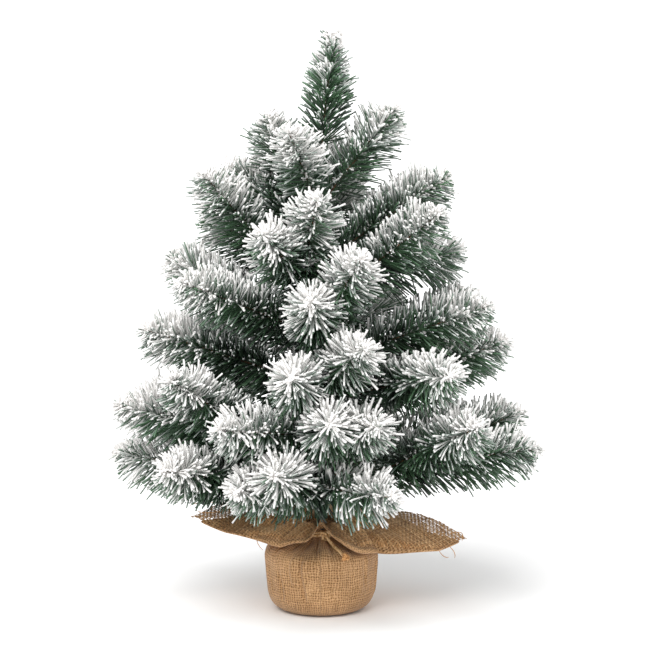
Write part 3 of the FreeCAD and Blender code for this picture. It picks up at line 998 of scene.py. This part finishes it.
@dataclass
class BranchWire:
    """Two wires twisted together under the needles of one bending body.

    Attributes:
        body: name of the body.
        wire_radius: thickness of one wire, halved.
        apart: how far the middle of each lies from the middle of the twist.
        pitch: length of one twist.
        short_of_tip: how far from the needles' tip the wires end.
        knuckle_radius: radius of the small bend at the joint.
    """

    body: str
    wire_radius: float = 0.62 * MM
    apart: float = 0.55 * MM
    pitch: float = 6.5 * MM
    short_of_tip: float = 9 * MM
    knuckle_radius: float = 1.7 * MM

    def build(self, twigs: list[Twig], finish: bpy.types.Material) -> None:
        """Twist the wires of all the body's twigs as one piece.

        Args:
            twigs: what the body's needles stand on, the main one first.
            finish: material of the wires.
        """
        shapes = []
        for twig in twigs:
            length = twig.length - self.short_of_tip
            along = np.linspace(0.0, length, int(length / self.pitch * 6))
            path = twig.start + along[:, None] * twig.way
            wires = strands(path, 2, self.apart, self.wire_radius, self.pitch, 5)
            shapes.append(wires[:2])
        turn = np.linspace(0.0, math.pi, 9)
        ball = twigs[0].start + np.outer(-np.cos(turn) * self.knuckle_radius, twigs[0].way)
        shapes.append(tube(ball, self.knuckle_radius * np.sin(turn), 10))
        piece = make_piece(f"{self.body}_twisted_wire", *join(*shapes), finish)
        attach(piece, self.body)
        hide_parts(f"{self.body}_wire")


@dataclass
class JuteTwine:
    """Twine tied round the neck of the cloth, with its free end over the pot's shoulder.

    Attributes:
        route: points of the free end, from the knot.
        thickness: the twine's diameter.
        pitch: length of one twist.
        loose: how much fatter the strands of the free end are than tight ones.
        turn_radius: radius of the turns round the neck.
        turn_heights: heights of the turns.
        knot_middle: place of the knot.
        knot_size: half its width.
        end_size: half the width of the knot on the free end.
    """

    route: tuple[tuple[float, float, float], ...] = (
        (0.0062, -0.0282, 0.0818),
        (0.0104, -0.0336, 0.0770),
        (0.0150, -0.0398, 0.0728),
        (0.0196, -0.0463, 0.0706),
        (0.0232, -0.0520, 0.0682),
    )
    thickness: float = 3 * MM
    pitch: float = 8 * MM
    loose: float = 1.3
    turn_radius: float = 19.5 * MM
    turn_heights: tuple[float, float] = (81.1 * MM, 84.15 * MM)
    knot_middle: tuple[float, float, float] = (4 * MM, -25.2 * MM, 82.6 * MM)
    knot_size: float = 6.6 * MM
    end_size: float = 5.2 * MM

    def spline_points(self) -> np.ndarray:
        """Read the free end's line from a NURBS spline through its route."""
        data = bpy.data.curves.new("free_end_line", "CURVE")
        data.dimensions = "3D"
        data.resolution_u = 24
        spline = data.splines.new("NURBS")
        spline.points.add(len(self.route) - 1)
        for point, place in zip(spline.points, self.route):
            point.co = (*place, 1.0)
        spline.order_u = 3
        spline.use_endpoint_u = True
        line = bpy.data.objects.new("free_end_line", data)
        bpy.context.scene.collection.objects.link(line)
        bpy.context.view_layer.update()
        mesh = bpy.data.meshes.new_from_object(line)
        points = np.array([vertex.co for vertex in mesh.vertices])
        bpy.data.objects.remove(line)
        bpy.data.meshes.remove(mesh)
        return points

    def dress(
        self,
        name: str,
        shape: tuple[np.ndarray, np.ndarray, np.ndarray],
        finish: bpy.types.Material,
        node: str,
    ) -> bpy.types.Object:
        """Make a piece of twine, hang it on the trunk and hide the CAD node that it replaces.

        Args:
            name: name of the piece.
            shape: its points, faces and the number of each point's strand.
            finish: material of the twine.
            node: the CAD node that it replaces.

        Returns:
            The new piece.
        """
        points, faces, number = shape
        piece = make_piece(name, points, faces, finish)
        fine = Ripple(3 * MM, 5).at(points)
        tone = np.clip(0.62 + 0.1 * number + 0.3 * fine, 0.0, 1.0)
        mark_points(piece, Mark.TONE, tone)
        mark_map(piece, Mark.BAKE_MAP, np.stack([tone, 0.1 + 0.25 * number + 0.2 * fine], axis=-1))
        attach(piece, "trunk")
        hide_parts(node)
        return piece

    def knot_shape(self, middle: np.ndarray, size: float, spin: float) -> tuple[np.ndarray, ...]:
        """Twist the twine along a trefoil knot.

        Formula: at the turn t the line is (sin t + 2 sin 2t, -0.9 sin 3t, cos t - 2 cos 2t),
        turned by the spin in the plane of the first and the last, and scaled to the size.

        Args:
            middle: place of the knot.
            size: half its width.
            spin: how far it is turned to the side, in radians.

        Returns:
            Points, faces and strand numbers.
        """
        turn = np.linspace(0.0, 2.0 * math.pi, 72, endpoint=False)
        flat = np.sin(turn) + 2.0 * np.sin(2.0 * turn)
        tall = np.cos(turn) - 2.0 * np.cos(2.0 * turn)
        across = flat * math.cos(spin) - tall * math.sin(spin)
        height = flat * math.sin(spin) + tall * math.cos(spin)
        line = np.stack([across, -0.9 * np.sin(3.0 * turn), height], axis=-1)
        strand = self.thickness / 4.0
        path = middle + line / 3.0 * (size - 2.0 * strand)
        return strands(path, 3, strand * 0.9, strand, self.pitch, 6, closed=True)

    def with_fuzz(
        self, shape: tuple[np.ndarray, ...], path: np.ndarray, count: int, seed: int
    ) -> tuple[np.ndarray, ...]:
        """Grow single fibres out of a line of twine, as thin blades.

        Args:
            shape: the twine's points, faces and strand numbers.
            path: points of its line.
            count: number of fibres.
            seed: start of the random draws.

        Returns:
            The shape with its fibres.
        """
        draw = np.random.default_rng(seed)
        root = path[draw.integers(0, len(path), count)]
        way = unit(draw.normal(size=(count, 3)))
        side, _ = square_to(way)
        start = root + way * self.thickness * 0.35
        end = root + way * self.thickness * draw.uniform(0.7, 1.2, count)[:, None]
        corners = [start - side * 0.1 * MM, start + side * 0.1 * MM, end + side * 0.04 * MM, end]
        points = np.stack(corners, axis=1).reshape(-1, 3)
        faces = np.arange(count * 4).reshape(-1, 4)
        return join(shape, (points, faces, np.full(len(points), 2)))

    def build(self, finish: bpy.types.Material, frayed: bpy.types.Material) -> None:
        """Tie the turns, the knot, the free end and its own knot.

        Args:
            finish: material of the twine.
            frayed: material of the knot on the free end.
        """
        strand = self.thickness / 4.0
        line = even_path(self.spline_points(), 0.8 * MM)
        shape = strands(line, 3, strand * self.loose, strand * self.loose, self.pitch, 8)
        tail = self.with_fuzz(shape, line, count=90, seed=3)
        tail = self.dress("twine_free_end", tail, finish, "twine_tail")
        end = line[-1] + unit(line[-1] - line[-3]) * self.end_size * 0.7
        knot = self.knot_shape(end, self.end_size, spin=1.4)
        knot = self.with_fuzz(knot, np.tile(end, (4, 1)), count=90, seed=4)
        knot = self.dress("twine_free_knot", knot, frayed, "twine_end_knot")
        turn = np.linspace(0.0, 2.0 * math.pi, 160, endpoint=False)
        ring = np.stack([np.cos(turn), np.sin(turn)], axis=-1) * self.turn_radius
        turns = []
        for height in self.turn_heights:
            path = np.column_stack([ring, height + 0.25 * MM * np.sin(3.0 * turn)])
            turns.append(strands(path, 3, strand * 0.95, strand, self.pitch, 7, True))
        self.dress("twine_turns", join(*turns), finish, "twine_wrap")
        middle = np.array(self.knot_middle)
        shape = self.knot_shape(middle, self.knot_size, spin=0.0)
        shape = self.with_fuzz(shape, np.tile(middle, (4, 1)), count=60, seed=6)
        self.dress("twine_tied_knot", shape, finish, "twine_knot")


@dataclass
class BurlapCloth:
    """Square of burlap under and round the pot, tied at the neck and spread above the tie.

    Attributes:
        profile: the bag's outline as (radius, height) in millimetres, from the middle of the
            floor to the neck.
        edge: the spread edge as (azimuth from the front to the right in degrees, reach beyond
            the neck, rise above the neck's top), the last two in millimetres.
        creases: upright creases of the wall as (azimuth in degrees, depth, lowest point,
            highest point), the last three in millimetres.
        strays: loose threads at the raw edges, each as three points in millimetres that shape
            its bend.
        neck_radius: radius of the tied neck.
        neck_top: height at which the cloth spreads.
        tie_height: height of the middle of the tie.
        pitch: distance between threads.
        bag_grid: rows and columns of the bag's points.
        lining_grid: rows and columns of the spread lining's points.
        wrinkle: height of the wall's faint wrinkles.
        pleats: number of pleats from the rim to the neck, halved.
        pleat: height of a pleat.
        swell: how far the spread cloth stands up beside the neck.
        fan: height of the small folds that fan out from the neck.
        fold: height of the folds half way out.
        wave: height of the waves at the edge.
        front_lift: how far the deep front folds stand up, before they roll down.
        front_roll: how far their edges roll down.
        closed_share: share of the way out at which the closed weave ends at a raw edge.
        span: half the width of the field of threads, before the edge cuts them.
        ribbon: width of a thread, halved, as a share of the pitch.
        fray: least and most by which a thread stands out of a raw edge.
        flat_side: side of the square before it was sewn; not used.
        cut_area: area of the square without its four sewn-out darts; not used.
    """

    profile: tuple[tuple[float, float], ...] = (
        (0.0, 0.3), (18.0, 0.3), (36.5, 0.3), (44.4, 2.0), (50.6, 6.3), (54.4, 12.6),
        (56.2, 20.0), (57.4, 32.0), (58.4, 46.0), (59.2, 57.0), (58.2, 62.6), (55.0, 66.4),
        (50.0, 69.3), (40.0, 72.3), (30.0, 75.0), (22.0, 77.6), (18.4, 80.0), (17.8, 82.6),
        (18.0, 85.6), (19.0, 88.6),
    )
    edge: tuple[tuple[float, float, float], ...] = (
        (0, 13, 7), (30, 38, -9), (60, 48, -20), (78, 108, -23), (90, 133, -17), (104, 107, -3),
        (116, 90, 3), (145, 60, 2), (180, 107, -5), (215, 60, 4), (244, 88, 15), (260, 104, 12),
        (270, 116, 9), (280, 84, -3), (292, 56, -9), (314, 40, -12), (360, 13, 7),
    )
    creases: tuple[tuple[float, float, float, float], ...] = (
        (-20, 2.2, 24, 60), (-33, 1.3, 40, 62), (-47, 1.4, 14, 44), (6, 0.7, 40, 60),
        (52, 1.1, 34, 58), (78, 1.4, 14, 50), (128, 1.3, 20, 58), (176, 1.6, 16, 52),
        (232, 1.5, 24, 56), (290, 1.2, 18, 48),
    )
    strays: tuple[tuple[tuple[float, float, float], ...], ...] = (
        ((-64, -20, 84), (-71, -23, 77), (-60.5, -22, 66.5)),
        ((-108, 0, 112), (-128, -2, 115), (-138, -4, 109)),
        ((-104, -8, 105), (-122, -12, 102), (-131, -12, 107)),
        ((134, -4, 80), (152, -6, 86), (147, -8, 73)),
        ((122, -16, 66), (127, -20, 57), (133, -18, 58)),
        ((131, -10, 70), (142, -12, 62), (139, -14, 56)),
    )
    neck_radius: float = 18 * MM
    neck_top: float = 89.2 * MM
    tie_height: float = 82.6 * MM
    pitch: float = 2.7 * MM
    bag_grid: tuple[int, int] = (84, 360)
    lining_grid: tuple[int, int] = (34, 500)
    wrinkle: float = 0.7 * MM
    pleats: float = 9.5
    pleat: float = 4.4 * MM
    swell: float = 7 * MM
    fan: float = 2.2 * MM
    fold: float = 2.4 * MM
    wave: float = 1.6 * MM
    front_lift: float = 4.5 * MM
    front_roll: float = 3.0 * MM
    closed_share: float = 0.68
    span: float = 190 * MM
    ribbon: float = 0.46
    fray: tuple[float, float] = (-1.0 * MM, 3.5 * MM)
    flat_side: float = 0.436
    cut_area: float = 0.1

    def edge_at(self, azimuth: np.ndarray) -> tuple[np.ndarray, np.ndarray]:
        """Reach beyond the neck and rise above its top of the spread edge, by azimuth in degrees."""
        place, reach, rise = np.array(self.edge, float).T
        return np.interp(azimuth, place, reach) * MM, np.interp(azimuth, place, rise) * MM

    def bag(self) -> tuple[np.ndarray, np.ndarray, np.ndarray]:
        """Shape the bag round the pot.

        Formula: the outline is turned about the pot's axis. The wall has faint upright wrinkles,
        and creases that are a narrow dent with a ridge beside it. From the rim inwards pleats
        stand up by a ridge that is the root of half a sine of the azimuth, uneven in height,
        highest half way to the neck and pressed flat by the tie.

        Returns:
            Points, faces, and places on the flat cloth.
        """
        rows, columns = self.bag_grid
        corners = np.array(self.profile) * MM
        length = run_length(corners)
        along = np.linspace(0.0, length[-1], rows)
        radius = np.interp(along, length, corners[:, 0])
        height = np.interp(along, length, corners[:, 1])
        azimuth = np.linspace(0.0, 2.0 * math.pi, columns, endpoint=False)
        blur = np.array((1.0, 2.0, 1.0)) / 4.0
        radius[1:-1] = np.convolve(radius, blur, "valid")
        height[1:-1] = np.convolve(height, blur, "valid")
        out = unit(np.stack([np.gradient(height), -np.gradient(radius)], axis=-1))

        ring = heading(azimuth)
        spot = np.column_stack([ring * 40 * MM, np.zeros(columns)])
        tilt = spot[None] + (along * 0.25)[:, None, None] * UP
        wall = smooth(60 * MM, 75 * MM, along) * (1.0 - smooth(118 * MM, 128 * MM, along))
        lift = self.wrinkle * wall[:, None] * (Ripple(16 * MM, 21).at(tilt) ** 3)
        for crease, *sizes in self.creases:
            depth, low, high = np.array(sizes) * MM
            apart = (azimuth - math.radians(crease) + math.pi) % (2.0 * math.pi) - math.pi
            lean = apart[None] - 0.04 * np.sin(along / (9 * MM))[:, None]
            dent = np.exp(-((lean / 0.035) ** 2)) - 0.8 * np.exp(-(((lean - 0.07) / 0.04) ** 2))
            part = smooth(low - 8 * MM, low, height) * (1.0 - smooth(high, high + 8 * MM, height))
            part = part * smooth(60 * MM, 70 * MM, along)
            lift = lift - depth * part[:, None] * dent
        sway = 0.35 * Ripple(60 * MM, 22).at(spot)
        pleat = np.abs(np.sin(azimuth * self.pleats + 3.0 * sway)) ** 0.5
        uneven = 0.75 + 0.5 * Ripple(30 * MM, 23).at(spot)
        gather = smooth(103 * MM, 130 * MM, along)
        tied = 1.0 - 0.8 * np.exp(-(((height - self.tie_height) / (3.4 * MM)) ** 2))
        lift = lift + self.pleat * (gather * tied)[:, None] * (pleat * uneven - 0.6)
        flat = radius[:, None] + lift * out[:, 0, None]
        tall = np.maximum(height[:, None] + lift * out[:, 1, None], 0.0)
        points = np.concatenate([flat[..., None] * ring, tall[..., None]], axis=-1)
        cloth = np.stack(np.broadcast_arrays(azimuth * 57.5 * MM, along[:, None]), axis=-1)
        return points.reshape(-1, 3), strip_faces(rows, columns, True), cloth.reshape(-1, 2)

    def spread(self, azimuth: np.ndarray, radius: np.ndarray) -> tuple[np.ndarray, np.ndarray]:
        """Height of the spread cloth above the tie.

        Formula: at the share v of the way from neck to edge the cloth first stands up a little,
        then falls or rises to the edge, with folds that fan out from the neck and die away. The
        front edges turn down into a soft roll.

        Args:
            azimuth: degrees from the front to the right, from 0 to 360.
            radius: distance from the pole.

        Returns:
            The share v and the height.
        """
        reach, rise = self.edge_at(azimuth)
        share = (radius - self.neck_radius) / reach
        held = np.clip(share, 0.0, 1.15)
        turn = np.radians(azimuth)
        front = 1.0 - smooth(70.0, 84.0, from_front(azimuth))
        swell = np.sin(math.pi * np.clip(held, 0, 1) ** 0.5) * (1 - 0.6 * held)
        fan = np.sin(12.0 * turn + 0.8) * np.exp(-6.0 * held)
        fold = np.sin(7.0 * turn + 1.1) + 0.6 * np.sin(12.0 * turn + 2.0)
        far = (radius - self.neck_radius) / (60 * MM)
        fold = fold * np.exp(-(((far - 0.45) / 0.4) ** 2))
        wave = np.sin(5.0 * turn + 0.4) * smooth(0.5, 1.0, held)
        deep = front * smooth(14 * MM, 48 * MM, reach)
        roll = deep * smooth(0.8, 1.0, held) ** 2
        height = self.neck_top + rise * held**1.3
        height = height + self.swell * swell * smooth(0.0, 40 * MM, reach)
        height = height + self.fan * fan + self.fold * fold + self.wave * wave
        height = height + self.front_lift * deep * held - self.front_roll * roll
        return share, height

    def lining(self) -> tuple[np.ndarray, np.ndarray, np.ndarray]:
        """Shape the closed part of the spread cloth, with its folded front edges.

        Formula: on a grid of azimuth and length, the cloth starts at the neck and follows the
        spread's height, a thread's thickness under the threads. At the raw edges it stops where
        the weave opens. In front it goes on to the edge, turns down and under in a half circle
        and runs back a little below itself.

        Returns:
            Points, faces, and places on the flat cloth.
        """
        rows, columns = self.lining_grid
        azimuth = np.linspace(0.0, 360.0, columns, endpoint=False)
        reach, _ = self.edge_at(azimuth)
        aside = from_front(azimuth)
        front = 1.0 - smooth(87.5, 91.0, aside)
        way_out = np.linspace(0.0, 1.0, rows)[:, None]
        share = way_out * (self.closed_share + 0.3 * front)
        radius = self.neck_radius + 0.8 * MM + share * reach
        _, height = self.spread(np.broadcast_to(azimuth, radius.shape), radius)
        first = smooth(0.0, 0.12, way_out)
        height = (self.neck_top - 0.6 * MM) * (1.0 - first) + (height - 0.5 * MM) * first
        turn = np.linspace(0.0, 1.0, 10)[1:, None]
        bend = (1.0 - smooth(50.0, 80.0, aside)) * smooth(14 * MM, 48 * MM, reach)
        bend = 0.8 * MM + 2.4 * MM * bend
        around = np.clip(turn * 1.5, 0.0, 1.0) * math.pi
        back = np.clip(turn * 3.0 - 2.0, 0.0, 1.0) * 12 * MM * front
        fold_radius = radius[-1] + bend * np.sin(around) - back
        fold_height = height[-1] - bend * (1.0 - np.cos(around)) + 0.25 * back
        radius = np.concatenate([radius, fold_radius])[..., None]
        height = np.concatenate([height, fold_height])[..., None]
        ring = heading(np.radians(azimuth))
        points = np.concatenate([radius * ring, height], axis=-1)
        place = (self.neck_radius + run_length(points))[..., None] * ring
        place = place @ np.array(((1.0, 1.0), (-1.0, 1.0))) / math.sqrt(2.0)
        faces = strip_faces(len(points), columns, True)[:, ::-1]
        return points.reshape(-1, 3), faces, place.reshape(-1, 2)

    def threads(self) -> tuple[np.ndarray, ...]:
        """Weave the spread cloth out of single threads.

        Formula: straight threads one pitch apart run both ways at 45 degrees in plan. A thread's
        height is that of the cloth plus a cosine of its length, so that it passes over and under
        the others. Each is an arched ribbon of three points, and it stops where the cloth ends,
        a little later at the raw edges, where single threads hang out.

        Returns:
            Points, faces and tone, which carries painted shade.
        """
        draw = np.random.default_rng(77)
        count = int(2.0 * self.span / self.pitch)
        line = (np.arange(count) - count / 2) * self.pitch
        along = (np.arange(2 * count) - count) * self.pitch / 2.0
        shapes = []
        for family in range(2):
            own = line + draw.normal(0.0, 0.12 * self.pitch, count)
            across, reach = np.meshgrid(own, along, indexing="ij")
            place = np.stack([across, reach] if family else [reach, across], axis=-1)
            level = np.concatenate([place, 0 * place[..., :1]], axis=-1)
            place = place + 0.3 * self.pitch * Ripple(25 * MM, 31).at(level)[..., None]
            x = (place[..., 0] - place[..., 1]) / math.sqrt(2.0)
            y = (place[..., 0] + place[..., 1]) / math.sqrt(2.0)
            radius = np.hypot(x, y)
            azimuth = np.degrees(np.arctan2(x, -y)) % 360.0
            share, height = self.spread(azimuth, radius)
            beyond = (share - 1.0) * self.edge_at(azimuth)[0]
            raw = smooth(88.0, 91.0, from_front(azimuth))
            fray = raw * draw.uniform(*self.fray, (count, 1)) - (1.0 - raw) * 2.0 * MM
            kept = (beyond < fray) & (radius > self.neck_radius + 0.5 * MM)
            step = np.arange(len(along))[None, :] + np.arange(count)[:, None] * 2 + 2 * family
            over = np.cos(math.pi * step / 2.0)
            height = height + 0.35 * MM * over - 0.25 * np.maximum(beyond, 0.0)
            middle = np.stack([x, y, height], axis=-1)
            opened = smooth(0.6, 1.0, share) * smooth(87.0, 92.0, from_front(azimuth))
            width = self.pitch * (self.ribbon - 0.05 * opened)
            width = width * (1 + 0.12 * draw.normal(size=(count, 1)))
            width = width * (1.0 + 0.15 * Ripple(9 * MM, 35 + family).at(middle))
            side = unit(np.cross(np.gradient(middle, axis=1), UP))
            offset = width[..., None, None] * np.array((-1.0, 0.0, 1.0))[:, None]
            ribbon = middle[:, :, None] + side[:, :, None] * offset
            ribbon[..., 2] += np.array((0.0, 0.35, 0.0)) * MM
            start = np.flatnonzero(kept & np.roll(kept, -1, axis=1)) * 3
            corner = start[:, None] + np.arange(2)
            quads = np.stack([corner, corner + 1, corner + 4, corner + 3], axis=-1)
            used, quads = np.unique(quads, return_inverse=True)
            tone = np.clip(0.62 + 0.16 * draw.normal(size=(count, 1)), 0.05, 1.0)
            # painted shade: a thread is darker where it dips under the others and lighter where it
            # passes over, and darker where the weave opens at the raw edges
            tone = tone + 0.14 * over - 0.12 * opened
            # painted shade: each ribbon is darker along its two edges and lighter along its middle
            tone = np.stack([tone - 0.18, tone + 0.08, tone - 0.18], axis=-1).ravel()
            tone = np.clip(tone[used], 0.0, 1.0)
            shapes.append((ribbon.reshape(-1, 3)[used], quads.reshape(-1, 4), tone))
        return join(*shapes)

    def stray_threads(self) -> tuple[np.ndarray, ...]:
        """Bend the loose threads.

        Formula: at the share t a thread's line is (1-t)^2 a + 2t(1-t) b + t^2 c of its three
        points, and it carries a thin circle, drawn in at both ends.

        Returns:
            Points, faces and tone.
        """
        share = np.linspace(0.0, 1.0, 20)[:, None]
        shapes = []
        for stray in self.strays:
            first, second, third = np.array(stray, float) * MM
            line = (1 - share) ** 2 * first + 2 * share * (1 - share) * second + share**2 * third
            radius = 0.42 * MM * np.sin(math.pi * (0.02 + 0.96 * share[:, 0])) ** 0.3
            points, faces = tube(line, radius, 5)
            shapes.append((points, faces, np.full(len(points), 0.45)))
        return join(*shapes)

    def build(self, weave: bpy.types.Material, thread: bpy.types.Material) -> None:
        """Join the bag and the woven spread into one cloth.

        Args:
            weave: material of the bag and the lining.
            thread: material of the single threads.
        """
        closed, faces, cloth = join(self.bag(), self.lining())
        loose, quads, tone = join(self.threads(), self.stray_threads())
        plain = np.full(len(closed), 0.5)
        points, corners, tone = join((closed, faces, plain), (loose, quads, tone))
        piece = make_piece("burlap_cloth", points, corners, weave, thread)
        slot = np.repeat((0, 1), (len(faces), len(quads))).astype(np.int32)
        piece.data.polygons.foreach_set("material_index", slot)
        mark_points(piece, Mark.TONE, tone)
        mark_map(piece, Mark.CLOTH_MAP, np.concatenate([cloth, np.zeros((len(loose), 2))]))
        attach(piece, "trunk")
        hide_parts("burlap_wrap")
        log.info("burlap: %d faces in the bag, %d in the threads", len(faces), len(quads))


# ------------------------------------------------------------------ studio


@dataclass(frozen=True)
class SoftSun:
    """A wide far light.

    Attributes:
        name: what the light is called.
        place: a point it shines from, towards the middle of the tree.
        spread: how wide it looks, in degrees; wide light gives soft shadows.
        strength: light on a surface that faces it.
    """

    name: str
    place: tuple[float, float, float]
    spread: float
    strength: float


@dataclass(frozen=True)
class Studio:
    """Pale floor, soft lights and the camera.

    Attributes:
        aim: where the camera looks.
        elevation: how far it looks down, in degrees.
        lens: focal length, in millimetres.
        view_width: width of the view at the trunk.
        floor_size: width of the floor.
        floor_colour: its colour.
        air: light from all round.
        suns: the lights.
    """

    aim: tuple[float, float, float] = (0.004, 0.0, 0.3005)
    elevation: float = 10.0
    lens: float = 200.0
    view_width: float = 0.6728
    floor_size: float = 60.0
    floor_colour: str = "#fbfbfb"
    air: float = 0.49
    suns: tuple[SoftSun, ...] = (
        SoftSun("key_light", (-0.85, -1.8, 2.7), 48.0, 3.05),
        SoftSun("fill_light", (1.9, -1.5, 1.6), 70.0, 0.7),
        SoftSun("back_light", (0.3, 1.8, 2.0), 70.0, 0.9),
    )

    def build(self) -> None:
        """Make the floor, the lights, the surroundings and the camera."""
        self.add_floor()
        self.add_camera()
        for sun in self.suns:
            data = bpy.data.lights.new(sun.name, "SUN")
            data.angle = math.radians(sun.spread)
            data.energy = sun.strength
            self.hang(data, sun.place)
        world = bpy.data.worlds.new("studio_air")
        world.use_nodes = True
        sky = world.node_tree.nodes["Background"]
        sky.inputs["Color"].default_value = (1.0, 1.0, 1.0, 1.0)
        sky.inputs["Strength"].default_value = self.air
        bpy.context.scene.world = world
        bpy.context.scene.view_settings.view_transform = "Standard"

    def add_floor(self) -> None:
        """Make the plain pale floor."""
        material, _, shader = new_material("matt_white_paper")
        feed(shader, {"Base Color": linear(self.floor_colour), "Roughness": 0.9})
        half = self.floor_size / 2
        across = np.linspace(-half, half, 3)
        points = np.zeros((3, 3, 3))
        points[..., 0] = across
        points[..., 1] = across[:, None]
        make_piece("floor", points.reshape(-1, 3), strip_faces(3, 3, False), material)

    def hang(self, data: bpy.types.ID, place: tuple[float, float, float]) -> bpy.types.Object:
        """Put a camera or a light at a place, so that it faces the aim."""
        thing = bpy.data.objects.new(data.name, data)
        bpy.context.scene.collection.objects.link(thing)
        thing.location = place
        facing = Vector(self.aim) - Vector(place)
        thing.rotation_euler = facing.to_track_quat("-Z", "Y").to_euler()
        return thing

    def add_camera(self) -> None:
        """Stand the camera in front, looking slightly down at the aim."""
        data = bpy.data.cameras.new("camera")
        data.lens = self.lens
        data.clip_end = 100.0
        away = self.view_width * self.lens / data.sensor_width
        tilt = math.radians(self.elevation)
        back = Vector((0.0, -math.cos(tilt), math.sin(tilt)))
        bpy.context.scene.camera = self.hang(data, Vector(self.aim) + back * away)


def dress_hidden_parts() -> None:
    """Give the CAD parts that keep their shape their finishes."""
    parts = {
        "pot_shell": Hidden.POT,
        "cement_fill": Hidden.CEMENT,
        "trunk_pole": Hidden.POLE,
        "wire_tails": Hidden.TAILS,
        "binding_tape": Hidden.TAPE,
    }
    for node, finish in parts.items():
        material = finish.value.build()
        for slot in frame["nodes"][node].material_slots:
            slot.material = material
        log.info("%s: %s", node, material.name)


def main() -> None:
    """Build every sub-assembly in order."""
    logging.basicConfig(level=logging.INFO, format="%(name)s: %(message)s")
    Studio().build()
    JuteTwine().build(Jute.TWINE.value.build(), Jute.FRAYED_KNOT.value.build())
    BurlapCloth().build(BurlapWeave().build(), Jute.THREADS.value.build())
    dress_hidden_parts()
    needle_finish = FlockedPvc().build()
    wire_finish = TwistedWireFinish().build()
    for number, body in enumerate(sorted(frame["bodies"])):
        if body != "trunk":
            branch = NeedleBranch(body, 100 * number)
            if body == "leader":
                branch = NeedleBranch(body, 100 * number, LEADER_BRUSH, heavy=-0.12)
            branch.build(needle_finish)
            BranchWire(body).build(branch.twigs(), wire_finish)


if __name__ == "__main__":
    main()
